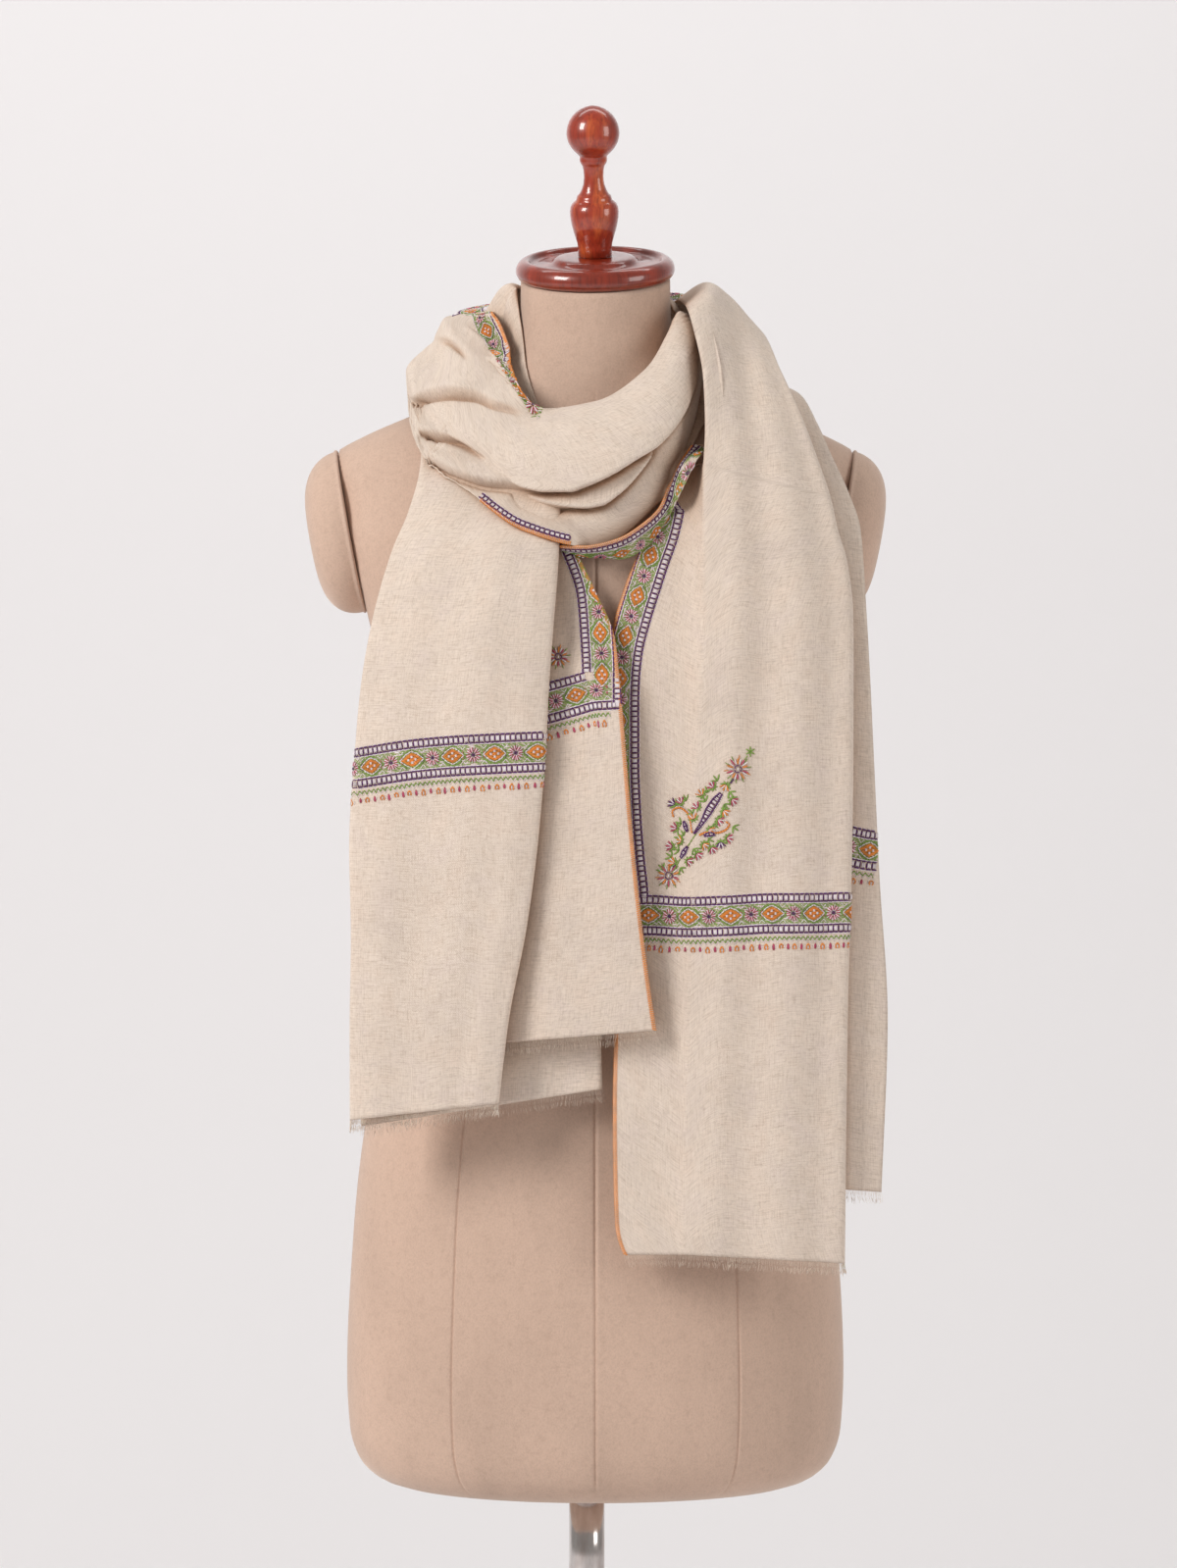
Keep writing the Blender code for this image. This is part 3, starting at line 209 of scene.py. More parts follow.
# ------------------------------------------------------------------ curves through tables
def column(table, name):
    return np.array([row[name] for row in table], float)


def smooth(knots, values, at):
    """Cubic through the knots that never overshoots between two of them."""
    knots, values, at = np.asarray(knots, float), np.asarray(values, float), np.asarray(at, float)
    step = np.diff(knots)
    slope = np.diff(values) / step
    tangent = np.zeros(len(values))
    tangent[0], tangent[-1] = slope[0], slope[-1]
    inner = slope[:-1] * slope[1:] > 0
    w1 = 2 * step[1:] + step[:-1]
    w2 = step[1:] + 2 * step[:-1]
    safe = np.where(slope == 0, 1.0, slope)
    harmonic = w1 / safe[:-1] + w2 / safe[1:]
    tangent[1:-1] = np.where(inner, (w1 + w2) / np.where(inner, harmonic, 1.0), 0.0)
    at = np.clip(at, knots[0], knots[-1])
    i = np.clip(np.searchsorted(knots, at, side="right") - 1, 0, len(step) - 1)
    t = (at - knots[i]) / step[i]
    h = step[i]
    return ((1 + 2 * t) * (1 - t) ** 2 * values[i] + t * (1 - t) ** 2 * h * tangent[i]
            + t * t * (3 - 2 * t) * values[i + 1] + t * t * (t - 1) * h * tangent[i + 1])


def unit(vectors, spare=0.0):
    """The vectors at length one. The spare keeps an empty one from dividing by nothing."""
    return vectors / (np.linalg.norm(vectors, axis=-1)[..., None] + spare)


def soften(values, rounds):
    """Evens out the rows in place, each with its neighbours."""
    for _ in range(rounds):
        values[1:-1] = (values[:-2] + 2.0 * values[1:-1] + values[2:]) / 4.0


def read_at(places, known, field):
    """Every column of a field, read between the places where it is known."""
    return np.stack([np.interp(places, known, field[:, k]) for k in range(field.shape[1])], axis=-1)


def reach_along(points):
    return np.concatenate([[0.0], np.cumsum(np.linalg.norm(np.diff(points, axis=0), axis=1))])


def through(points, count):
    """Points spaced along a smooth curve through a few points."""
    points = np.asarray(points, float)
    reach = reach_along(points)
    at = np.linspace(0.0, reach[-1], count)
    return np.stack([smooth(reach, points[:, k], at) for k in range(points.shape[1])], axis=1)


def carry(points):
    """From front sizes at the middle plane to true places: x, depth, height."""
    points = np.array(points, float)
    near = (EYE_AWAY + points[..., 1]) / EYE_AWAY
    points[..., 0] = points[..., 0] * near
    points[..., 2] = EYE_HEIGHT + (points[..., 2] - EYE_HEIGHT) * near
    return points


def seen(points):
    """From true places back to the sizes seen from the front: x and height."""
    near = (EYE_AWAY + points[..., 1]) / EYE_AWAY
    return np.stack([points[..., 0] / near, EYE_HEIGHT + (points[..., 2] - EYE_HEIGHT) / near], axis=-1)


# ------------------------------------------------------------------ the form as a field, to lay cloth on
def neck_lift(x, y, z):
    blend = np.clip((z - 1345.0) / 55.0, 0.0, 1.0)
    return blend * (math.tan(NECK_TILT) * (y - NECK_TOP[1]) + math.tan(NECK_ROLL) * x)


def body_rings(step):
    listed = column(BODY_RINGS, "z")
    heights = []
    for low, high in zip(listed[:-1], listed[1:]):
        heights += list(np.linspace(low, high, max(1, math.ceil((high - low) / step)), endpoint=False))
    heights = np.array(heights + [listed[-1]])
    return {name: smooth(listed, column(BODY_RINGS, name), heights) for name in BODY_RINGS[0]}


BODY = body_rings(6.0)


def form_field(points):
    x, y, z = points[..., 0], points[..., 1], points[..., 2]
    z = z - neck_lift(x, y, z)
    half_w = np.interp(z, BODY["z"], BODY["half_w"])
    half_d = np.interp(z, BODY["z"], BODY["half_d"])
    back = np.interp(z, BODY["z"], BODY["back"])
    wide = np.minimum(half_w, 172.0 + 0.18 * (z - 1245.0) + CAP_BULGE * 0.9)
    return np.sqrt((x / wide) ** 2 + ((y - back) / half_d) ** 2 + 1e-9) - 1.0


def lay_on_form(points, gap):
    """Moves the points nearer to the form's skin than the gap straight out of it."""
    points = np.array(points, float)
    for _ in range(8):
        slope = np.zeros_like(points)
        for k in range(3):
            step = np.zeros(3)
            step[k] = 1.0
            slope[..., k] = (form_field(points + step) - form_field(points - step)) / 2.0
        size = np.linalg.norm(slope, axis=-1)
        short = np.clip(gap - form_field(points) / size, 0.0, 12.0)
        points = points + slope / size[..., None] * short[..., None]
    return points


MOST_MOVED = 45.0
COVER_CELL = 2.0
COVER_LOW = (-230.0, 690.0)
COVER_SIZE = (235, 380)
CONE_RISE, CONE_REACH = 0.4, 18.0
FRONT_DEPTH = 5.0  # cloth further back than this takes no part in the layering of the front


def cover_of(layers):
    """How far forward the layers below stand at each place of the front, widened into soft cones."""
    field = np.full(COVER_SIZE, 1e4)
    for layer in layers:
        flat = layer.reshape(-1, 3)
        flat = flat[flat[:, 1] < FRONT_DEPTH]
        i = ((flat[:, 0] - COVER_LOW[0]) / COVER_CELL).astype(int)
        j = ((flat[:, 2] - COVER_LOW[1]) / COVER_CELL).astype(int)
        np.minimum.at(field, (i, j), flat[:, 1])
    wide = field.copy()
    cells = int(CONE_REACH / COVER_CELL)
    for di in range(-cells, cells + 1):
        for dj in range(-cells, cells + 1):
            away = math.hypot(di, dj) * COVER_CELL
            if 0.0 < away <= CONE_REACH:
                wide = np.minimum(wide, np.roll(field, (di, dj), (0, 1)) + CONE_RISE * away)
    return wide


def relax(field, rounds):
    for _ in range(rounds):
        padded = np.pad(field, 1, mode="edge")
        field = (padded[:-2, 1:-1] + padded[2:, 1:-1] + padded[1:-1, :-2] + padded[1:-1, 2:]
                 + 2.0 * field) / 6.0
    return field


def lay_over(grid, layers, gap, rounds=10):
    """Moves a layer to the front until it clears those below it, with the move eased out around."""
    grid = np.array(grid, float)
    cover = cover_of(layers)
    i = np.clip(((grid[..., 0] - COVER_LOW[0]) / COVER_CELL).astype(int), 0, COVER_SIZE[0] - 1)
    j = np.clip(((grid[..., 2] - COVER_LOW[1]) / COVER_CELL).astype(int), 0, COVER_SIZE[1] - 1)
    need = grid[..., 1] - (cover[i, j] - gap)
    need = np.where((grid[..., 1] < FRONT_DEPTH) & (need < MOST_MOVED), np.maximum(need, 0.0), 0.0)
    eased = np.maximum(need, relax(need, rounds))
    grid[..., 1] -= relax(eased, 3 + max(0, rounds - 20))
    return grid


# ------------------------------------------------------------------ fine grids of the cloth
def tail(table, count, across, folds=(), left_tuck=0.0, right_tuck=0.0):
    """A hanging layer, finer than the part's. The columns of its face lie between those of its tucked edges."""
    knots = np.concatenate([[0.0], np.cumsum(np.hypot(np.diff(column(table, "lz")), np.diff(column(table, "ly"))))])
    at = np.linspace(0.0, knots[-1], count)
    rows = {name: smooth(knots, column(table, name), at) for name in table[0]}
    share = np.linspace(0.0, 1.0, across)

    def rolled(end, flat, turns):
        return [end + flat * (EDGE_TURN * (1 - math.sin(a))) + np.array([0.0, EDGE_TURN * (1 - math.cos(a)), 0.0])
                for a in turns]

    turns = np.linspace(0.0, math.pi, 9)
    grid = []
    for i in range(count):
        down = i / (count - 1)
        left, right = (np.array([rows[side + axis][i] for axis in "xyz"]) for side in "lr")
        line = left + (right - left) * share[:, None]
        push = 4 * share * (1 - share) * rows["swell"][i]
        hang = min(1.0, down / 0.3)
        for fold in folds:
            middle = fold["top"] + (fold["foot"] - fold["top"]) * down
            push = push + hang * fold["deep"] * np.exp(-((share - middle) / fold["wide"]) ** 2)
        line[:, 1] = line[:, 1] - push
        flat = (right - left) / np.linalg.norm(right - left)
        open_up = 0.35 + 0.65 * min(1.0, max(0.0, (down - 0.02) / 0.25))
        parts = list(line)
        if left_tuck:
            arc = rolled(line[0], flat, turns[::-1])
            inner = [arc[0] + flat * left_tuck * open_up * s for s in np.linspace(1.0, 0.08, 12)]
            parts = inner + arc + parts[1:]
        if right_tuck:
            arc = rolled(line[-1], -flat, turns)
            inner = [arc[-1] - flat * right_tuck * open_up * s for s in np.linspace(0.15, 1.0, 6)]
            parts = parts[:-1] + arc + inner
        grid.append(parts)
    grid = np.array(grid)
    soften(grid.swapaxes(0, 1), 6)
    return grid


def wrap_grid(first, last, count, across):
    angles = np.linspace(first, last, count)
    knots = column(WRAP, "angle")
    share = np.linspace(0.0, 1.0, across)
    grid = []
    for angle in angles:
        at = {name: float(smooth(knots, column(WRAP, name), angle)) for name in WRAP[0] if name != "angle"}
        puff = 4.0 - 8.0 * math.exp(-((angle - 88.0) / 26.0) ** 2)
        shoulder_r = (at["rim_r"] * 0.45 + at["belly_r"] * 0.55) + puff
        shoulder_z = at["rim_z"] * 0.55 + at["belly_z"] * 0.45 + puff
        line = through([(at["inner_r"], at["inner_z"]), (at["rim_r"], at["rim_z"]), (shoulder_r, shoulder_z),
                        (at["belly_r"], at["belly_z"]), (at["low_r"], at["low_z"])], across)
        tangent = unit(np.gradient(line, axis=0))
        out = np.stack([-tangent[:, 1], tangent[:, 0]], axis=1)
        for fold in WRAP_FOLDS:
            t = (angle - fold["start"]) / (fold["end"] - fold["start"])
            if 0.0 < t < 1.0:
                s = fold["s_start"] + (fold["s_end"] - fold["s_start"]) * t
                size = fold["deep"] * math.sin(math.pi * t) ** 0.6
                line = line - out * (size * np.exp(-((share - s) / fold["wide"]) ** 2))[:, None]
        a = math.radians(angle)
        grid.append(np.stack([-line[:, 0] * math.sin(a), NECK_AXIS_Y - line[:, 0] * math.cos(a), line[:, 1]], axis=1))
    return np.array(grid)


def inner_grid(count, across):
    angles = np.linspace(INNER[0]["angle"], INNER[-1]["angle"], count)
    knots = column(INNER, "angle")
    at = {name: smooth(knots, column(INNER, name), angles)[:, None] for name in INNER[0] if name != "angle"}
    s = np.linspace(0.0, 1.0, across)[None, :]
    wave = np.sin(angles / 4.1) + 0.7 * np.sin(angles / 2.3 + 1.0)
    r = at["top_r"] + (at["foot_r"] - at["top_r"]) * s ** 1.2 + 1.3 * np.sin(np.pi * s ** 0.8) * (1.0 + wave[:, None])
    crest = 2.4 + 7.0 * np.exp(-((angles - 112.0) / 26.0) ** 2)[:, None]
    z = at["top_z"] + (at["foot_z"] - at["top_z"]) * s + np.sin(np.pi * s ** 0.8) * (crest + 1.4 * wave[:, None])
    a = np.radians(angles)[:, None]
    return np.stack([-r * np.sin(a), NECK_AXIS_Y - r * np.cos(a), z], axis=-1)


def right_front_grid(count, across, strip_count):
    main = tail(RIGHT_FRONT, count, across, RIGHT_FRONT_FOLDS, 0.0, 14.0)
    joined = int(count * JOIN_SHARE)
    nape_end = wrap_grid(WRAP[-1]["angle"], WRAP[-1]["angle"], 1, main.shape[1])[0]
    first = main[0].copy()
    for i in range(joined):
        t = i / joined
        main[i] = main[i] + (nape_end - first) * (1.0 - (3 * t * t - 2 * t ** 3))
    edge_z, edge_x, edge_y = (column(RIGHT_EDGE, name)[::-1] for name in ("z", "x", "y"))
    grid = []
    for row in main:
        left = row[0]
        z = left[2]
        share = np.linspace(0.0, 1.0, strip_count, endpoint=False)[:, None]
        x, y = float(smooth(edge_z, edge_x, z)), float(smooth(edge_z, edge_y, z))
        step = y - left[1]
        ease = share ** 5 if step > 4.0 else share
        shown = np.concatenate([x + (left[0] - x) * share, y - step * ease, np.full_like(share, z)], axis=1)
        turned = left + np.concatenate([13.0 * (1 - share) - 0.6 * np.sin(np.pi * share),
                                        5.4 * np.minimum(1.0, (1 - share) * 6.0), 0 * share], axis=1)
        blend = min(1.0, max(0.0, (z - edge_z[-1]) / 6.0))
        strip = shown * (1 - blend) + turned * blend
        grid.append(list(strip) + list(row))
    return np.array(grid)


def turned_edge_grid(count, across):
    edge = through([(r["ox"], r["oy"], r["oz"]) for r in TURNED_EDGE], count)
    fold = through([(r["fx"], r["fy"], r["fz"]) for r in TURNED_EDGE], count)
    s = np.linspace(0.0, 1.0, across)[None, :, None]
    grid = edge[:, None] + (fold - edge)[:, None] * s
    grid[..., 1] -= 2.5 * np.sin(np.pi * s[..., 0])
    return grid


def beside(run, spots):
    """For each spot: the nearest point of a run, how far to its left the spot lies and how far past it."""
    way = unit(np.gradient(run, axis=0))
    gap = spots[:, None] - run[None]
    nearest = (gap ** 2).sum(-1).argmin(1)
    off, way = gap[np.arange(len(spots)), nearest], way[nearest]
    return nearest, way[:, 0] * off[:, 1] - way[:, 1] * off[:, 0], np.abs((off * way).sum(-1))


def crease_cowl(grid):
    """Presses the cowl's creases in where they run over its front."""
    flat = seen(grid).reshape(-1, 2)
    normals = normals_of(grid)
    towards = np.clip(-1.5 * normals[..., 1], 0.3, 1.0) * (grid[..., 1] < FRONT_HALF)
    place = grid.copy()
    for crease in COWL_CREASES:
        run = through(crease["run"], 80)
        along = reach_along(run)
        nearest, side, past = beside(run, flat)
        lead = crease.get("lead", crease["fade"])
        strength = np.clip(np.minimum(along[nearest] / lead, (along[-1] - along[nearest]) / crease["fade"]), 0.0, 1.0)
        strength = strength ** 0.7 * np.exp(-(past / 6.0) ** 2)
        groove = crease.get("groove", 4.5) * np.exp(-((side + 1.4) / 1.7) ** 2)
        above = crease["above"] * np.exp(-np.maximum(side, 0) / crease["over"])
        below = -crease["below"] * np.exp(np.minimum(side, 0) / crease["under"])
        mix = 1.0 / (1.0 + np.exp(-side / 0.55))
        push = (strength * (above * mix + below * (1 - mix) - groove)).reshape(grid.shape[:2])
        place += normals * (push * towards)[..., None]
    return place


def normals_of(grid):
    """The side of a layer that looks away from the neck's axis."""
    found = unit(np.cross(np.gradient(grid, axis=1), np.gradient(grid, axis=0)), TINY)
    half = grid.shape[0] // 2, grid.shape[1] // 2
    outward = found[half][0] * grid[half][0] + found[half][1] * (grid[half][1] - NECK_AXIS_Y)
    return found if outward > 0 else -found


def all_cloth():
    """Every layer's fine grid, each laid on the form and over the layers below it."""
    front, side, back, right, behind, inner, hem, cowl, nape = (
        lay_on_form(carry(grid), FORM_GAP + gap) for grid, gap in (
            (tail(LEFT_FRONT, 190, 62, LEFT_FRONT_FOLDS, LEFT_TUCK, 10.0), 2.0),
            (tail(LEFT_SIDE, 140, 46, LEFT_SIDE_FOLDS), 1.0),
            (tail(LEFT_BACK, 110, 46), 0.0),
            (right_front_grid(300, 44, STRIP_COLUMNS), 2.0),
            (tail(RIGHT_BACK, 200, 26, RIGHT_BACK_FOLDS), 0.0),
            (inner_grid(150, 24), 0.0),
            (turned_edge_grid(60, 14), 3.0),
            (wrap_grid(-COWL_HALF, COWL_HALF, 340, 120), 4.0),
            (wrap_grid(COWL_HALF, 221.9, 150, 72), 4.0)))
    low = right[:, 0, 2] < TUCK_TOP
    tucked = right[low][:, :STRIP_COLUMNS + 1]
    above = int(np.argmax(low))
    front = lay_over(front, [inner], 2.4)
    hem = lay_over(hem, [side, tucked], 2.0)
    cowl = crease_cowl(lay_over(cowl, [front, side, tucked, inner], 2.6))
    before = right[:above, STRIP_COLUMNS].copy()
    right[:, STRIP_COLUMNS:] = lay_over(right[:, STRIP_COLUMNS:], [cowl, behind], 4.0, 60)
    right[:above, :STRIP_COLUMNS] += (right[:above, STRIP_COLUMNS] - before)[:, None]
    return dict(left_tail_front=front, left_tail_side=side, left_tail_back=back, right_tail_front=right,
                right_tail_back=behind, neck_inner=inner, cowl_turned_edge=hem, neck_cowl=cowl, neck_nape=nape)


# ------------------------------------------------------------------ a cloth's surface and its flat measures
class Surface:
    """One layer of cloth: its grid, its outer side and ways to find a place on it."""

    def __init__(self, grid):
        self.grid = grid
        self.normals = normals_of(grid)
        self.down = np.gradient(grid, axis=0)
        self.side = np.gradient(grid, axis=1)
        self.front = seen(grid)
        self.front_down = np.gradient(self.front, axis=0)
        self.front_side = np.gradient(self.front, axis=1)
        steps = np.linalg.norm(np.diff(grid, axis=1), axis=2)
        self.from_left = np.concatenate([np.zeros((len(grid), 1)), np.cumsum(steps, axis=1)], axis=1)
        rows = np.linalg.norm(np.diff(grid, axis=0), axis=2)
        self.from_top = np.concatenate([np.zeros((1, grid.shape[1])), np.cumsum(rows, axis=0)], axis=0)

    def sample(self, field, ij):
        rows, across = self.grid.shape[:2]
        i = np.clip(ij[..., 0], 0, rows - 1.001)
        j = np.clip(ij[..., 1], 0, across - 1.001)
        i0, j0 = i.astype(int), j.astype(int)
        s, t = (i - i0)[..., None], (j - j0)[..., None]
        return ((field[i0, j0] * (1 - t) + field[i0, j0 + 1] * t) * (1 - s)
                + (field[i0 + 1, j0] * (1 - t) + field[i0 + 1, j0 + 1] * t) * s)

    def locate(self, places):
        """Rows and columns of the places on its visible side that lie at these front sizes."""
        places = np.asarray(places, float)
        facing = self.normals[..., 1] < -0.15
        ij = np.argwhere(facing)
        known = self.front[facing]
        found = np.array([ij[((known - p) ** 2).sum(1).argmin()] for p in places], float)
        for _ in range(4):
            miss = places - self.sample(self.front, found)
            a, b = self.sample(self.front_down, found), self.sample(self.front_side, found)
            det = a[:, 0] * b[:, 1] - a[:, 1] * b[:, 0]
            det = np.where(np.abs(det) < 1e-3, 1e-3, det)
            step = np.stack([(miss[:, 0] * b[:, 1] - miss[:, 1] * b[:, 0]) / det,
                             (a[:, 0] * miss[:, 1] - a[:, 1] * miss[:, 0]) / det], axis=1)
            found = found + np.clip(step, -2.0, 2.0)
        return found

    def inset(self, column_from_left, distance, first=0, last=None):
        """The path at a distance in from its left or right edge."""
        found = []
        last = len(self.grid) if last is None else last
        for i in range(first, last):
            reach = self.from_left[i]
            at = distance if column_from_left else reach[-1] - distance
            found.append((i, float(np.interp(at, reach, np.arange(len(reach))))))
        return np.array(found, float)


class Course:
    """A path on a cloth with flat sizes beside it: s along it, t to its left as it is walked, both in mm."""

    def __init__(self, surface, ij):
        self.surface = surface
        ij = np.asarray(ij, float)
        fine = np.linspace(0, len(ij) - 1, len(ij) * 8)
        ij = read_at(fine, np.arange(len(ij)), ij)
        points = surface.sample(surface.grid, ij)
        reach = reach_along(points)
        self.length = float(reach[-1])
        count = max(8, int(self.length / 1.5))
        self.s = np.linspace(0.0, self.length, count)
        self.ij = read_at(self.s, reach, ij)
        soften(self.ij, 3)
        way = np.gradient(surface.sample(surface.grid, self.ij), axis=0)
        soften(way, 4)
        self.way = unit(way, TINY)

    def at(self, s, t):
        """The places on the cloth, the sides that look outward there, and which of them lie on the cloth."""
        ij, way = read_at(s, self.s, self.ij), read_at(s, self.s, self.way)
        inside = (s >= -0.3) & (s <= self.length + 0.3)
        surface = self.surface
        steps = 4
        for _ in range(steps):
            down, side = surface.sample(surface.down, ij), surface.sample(surface.side, ij)
            out = surface.sample(surface.normals, ij)
            want = unit(np.cross(out, way), TINY) * (t / steps)[..., None]
            aa, bb, ab = (down * down).sum(-1), (side * side).sum(-1), (down * side).sum(-1)
            wa, wb = (want * down).sum(-1), (want * side).sum(-1)
            det = aa * bb - ab * ab + TINY
            ij = ij + np.stack([(wa * bb - wb * ab) / det, (wb * aa - wa * ab) / det], axis=-1)
        rows, columns = surface.grid.shape[:2]
        inside &= (ij[..., 0] > -0.5) & (ij[..., 0] < rows - 0.5) & (ij[..., 1] > -0.5) & (ij[..., 1] < columns - 0.5)
        return surface.sample(surface.grid, ij), unit(surface.sample(surface.normals, ij), TINY), inside


# ------------------------------------------------------------------ stitches in flat sizes
PURPLE, WHITE, GREEN, ORANGE, PINK, CREAM = range(6)
CLOTH_WALL = 1.0
SHORTEST_STITCH, LONGEST_STITCH = 0.2, 9.0
BAND_IN = 15.0  # from a long edge to the middle of its band
LADDER_OUT = 10.4  # from a band's middle to that of either ladder
FIELD_HALF = 6.7
PETALS = 8
RAYS = 20


def polar(s, t, far, turn):
    return s + far * math.cos(turn), t + far * math.sin(turn)


class Needlework:
    """Collects stitches on one cloth as flat lines and turns them into placed threads."""

    def __init__(self, seed=1):
        self.flat = []
        self.made = []
        self.rng = random.Random(seed)

    def stitch(self, s0, t0, s1, t1, wide, hue, rise=0.0):
        self.flat.append((s0, t0, s1, t1, wide, hue, rise))

    def ray(self, s, t, turn, near, far, wide, hue, rise=0.0, end_turn=None):
        """A stitch out from a middle at an angle, which may end at another."""
        end_turn = turn if end_turn is None else end_turn
        self.stitch(*polar(s, t, near, turn), *polar(s, t, far, end_turn), wide, hue, rise)

    def shift(self, ds, dt):
        self.flat = [(s0 + ds, t0 + dt, s1 + ds, t1 + dt, w, h, r) for s0, t0, s1, t1, w, h, r in self.flat]

    def line(self, points, wide, hue, rise=0.0, longest=3.0):
        for (s0, t0), (s1, t1) in zip(points[:-1], points[1:]):
            parts = max(1, math.ceil(math.hypot(s1 - s0, t1 - t0) / longest))
            spots = [(s0 + (s1 - s0) * (k / parts), t0 + (t1 - t0) * (k / parts)) for k in range(parts + 1)]
            for a, b in zip(spots[:-1], spots[1:]):
                self.stitch(*a, *b, wide, hue, rise)

    def satin(self, outline, turn, wide, hue, rise=0.0, longest=3.6):
        """Fills an outline with stitches side by side, lying at an angle to the course."""
        c, d = math.cos(turn), math.sin(turn)
        spun = [(x * c + y * d, -x * d + y * c) for x, y in outline]
        low, high = min(y for _, y in spun), max(y for _, y in spun)
        count = max(1, round((high - low) / (wide * 0.86)))
        for k in range(count):
            y = low + (high - low) * (k + 0.5) / count
            cuts = []
            for (x0, y0), (x1, y1) in zip(spun, spun[1:] + spun[:1]):
                if (y0 <= y) != (y1 <= y):
                    cuts.append(x0 + (x1 - x0) * (y - y0) / (y1 - y0))
            cuts.sort()
            for x0, x1 in zip(cuts[::2], cuts[1::2]):
                if x1 - x0 > 0.25:
                    ends = [(x * c - y * d, x * d + y * c) for x in (x0, x1)]
                    self.line(ends, wide, hue, rise, longest)

    def place(self, course):
        """Lays the collected flat stitches along a course."""
        if not self.flat:
            return
        rows = np.array(self.flat, float)
        start, out0, in0 = course.at(rows[:, 0], rows[:, 1])
        end, out1, in1 = course.at(rows[:, 2], rows[:, 3])
        out = unit(out0 + out1, TINY)
        way = end - start
        length = np.linalg.norm(way, axis=1)
        fits = in0 & in1 & (length > SHORTEST_STITCH) & (length < LONGEST_STITCH)
        middle = (start + end) / 2 + out * (CLOTH_WALL / 2 + 0.10 + rows[:, 6])[:, None]
        way /= length[:, None] + TINY
        sizes = np.stack([np.minimum(rows[:, 4] * 0.8, 0.8), rows[:, 4], length + 0.35], axis=1)
        self.made.append((middle[fits], way[fits], out[fits], sizes[fits], rows[fits, 5]))
        self.flat = []

    def joined(self):
        return [np.concatenate([part[k] for part in self.made]) for k in range(5)]


def ladder(work, s0, s1, t, half=2.9, pitch=3.5):
    """Two dark rails joined by rungs, with a white square in each gap."""
    count = max(2, round((s1 - s0) / pitch))
    step = (s1 - s0) / count
    rng = work.rng
    for k in range(count):
        a, b = s0 + k * step, s0 + (k + 1) * step
        for side in (-1, 1):
            work.stitch(a, t + side * (half + 0.55), b, t + side * (half + 0.55), 0.6, WHITE)
            work.stitch(a, t + side * (half - 0.35), b, t + side * (half - 0.35), 1.3, PURPLE, 0.12)
        c = a + rng.uniform(-0.3, 0.3)
        work.stitch(c, t - half + 0.5, c + rng.uniform(-0.3, 0.3), t + half - 0.5, 1.1, PURPLE, 0.14)
        m = (a + b) / 2 + rng.uniform(-0.15, 0.15)
        for shift in (-0.7, 0.0, 0.75):
            work.stitch(m + shift, t - half + 1.0, m + shift, t + half - 1.0, 0.95, WHITE, 0.32)


def lozenge(work, s, t, long=6.9, high=5.0):
    wobble = [work.rng.uniform(0.94, 1.06) for _ in range(4)]
    shape = [(s - long * wobble[0], t), (s - long * 0.48, t + high * 0.66), (s, t + high * wobble[1]),
             (s + long * 0.48, t + high * 0.66), (s + long * wobble[2], t), (s + long * 0.48, t - high * 0.66),
             (s, t - high * wobble[3]), (s - long * 0.48, t - high * 0.66)]
    work.satin(shape, math.pi / 2 + 0.25, 0.85, ORANGE, 0.25)
    for scale, hue, wide in ((1.15, WHITE, 0.9), (1.40, GREEN, 0.9)):
        ring = [(s + (x - s) * scale, t + (y - t) * scale) for x, y in shape]
        ring = [(x, y) for x, y in ring + ring[:1] if abs(y) < 7.2]
        work.line(ring, wide, hue, 0.3)
    for ds, dt in ((-2.5, 0.0), (2.5, 0.0), (0.0, 1.9), (0.0, -1.9)):
        for shift in (-0.4, 0.4):
            work.stitch(s + ds - 0.75, t + dt + shift, s + ds + 0.75, t + dt + shift, 0.9, WHITE, 0.62)


def flower(work, s, t, radius=5.4):
    """White petals, each between two rose strands, round a purple heart."""
    rng = work.rng
    for k in range(PETALS):
        a = 0.2 + 2 * math.pi * k / PETALS + rng.uniform(-0.07, 0.07)
        work.ray(s, t, a, radius * 0.2, radius * 0.96, 1.7, WHITE, 0.24)
        for spread in (-1, 1):
            work.ray(s, t, a + spread * 0.2, radius * 0.3, radius * rng.uniform(0.84, 0.98), 0.75, PINK, 0.44,
                     a + spread * 1.25 / PETALS)
        work.ray(s, t, a + math.pi / PETALS, radius * 0.5, radius * 1.1, 0.6, WHITE, 0.26)
    work.line([polar(s, t, radius * 0.15, 2 * math.pi * k / 5) for k in range(6)], 0.9, PURPLE, 0.6)


def ground(work, s0, s1, low, high):
    """Fills a strip with short green stitches in bond, a few of them white."""
    rows = max(1, round((high - low) / 0.95))
    for k in range(rows):
        t = low + (high - low) * (k + 0.5) / rows
        s = s0 - (k % 3) * 1.2
        while s < s1:
            a, b = max(s, s0), min(s + 3.3, s1)
            if b - a > 0.5:
                work.stitch(a, t, b, t, 0.85, WHITE if work.rng.random() < 0.12 else GREEN)
            s += 3.6


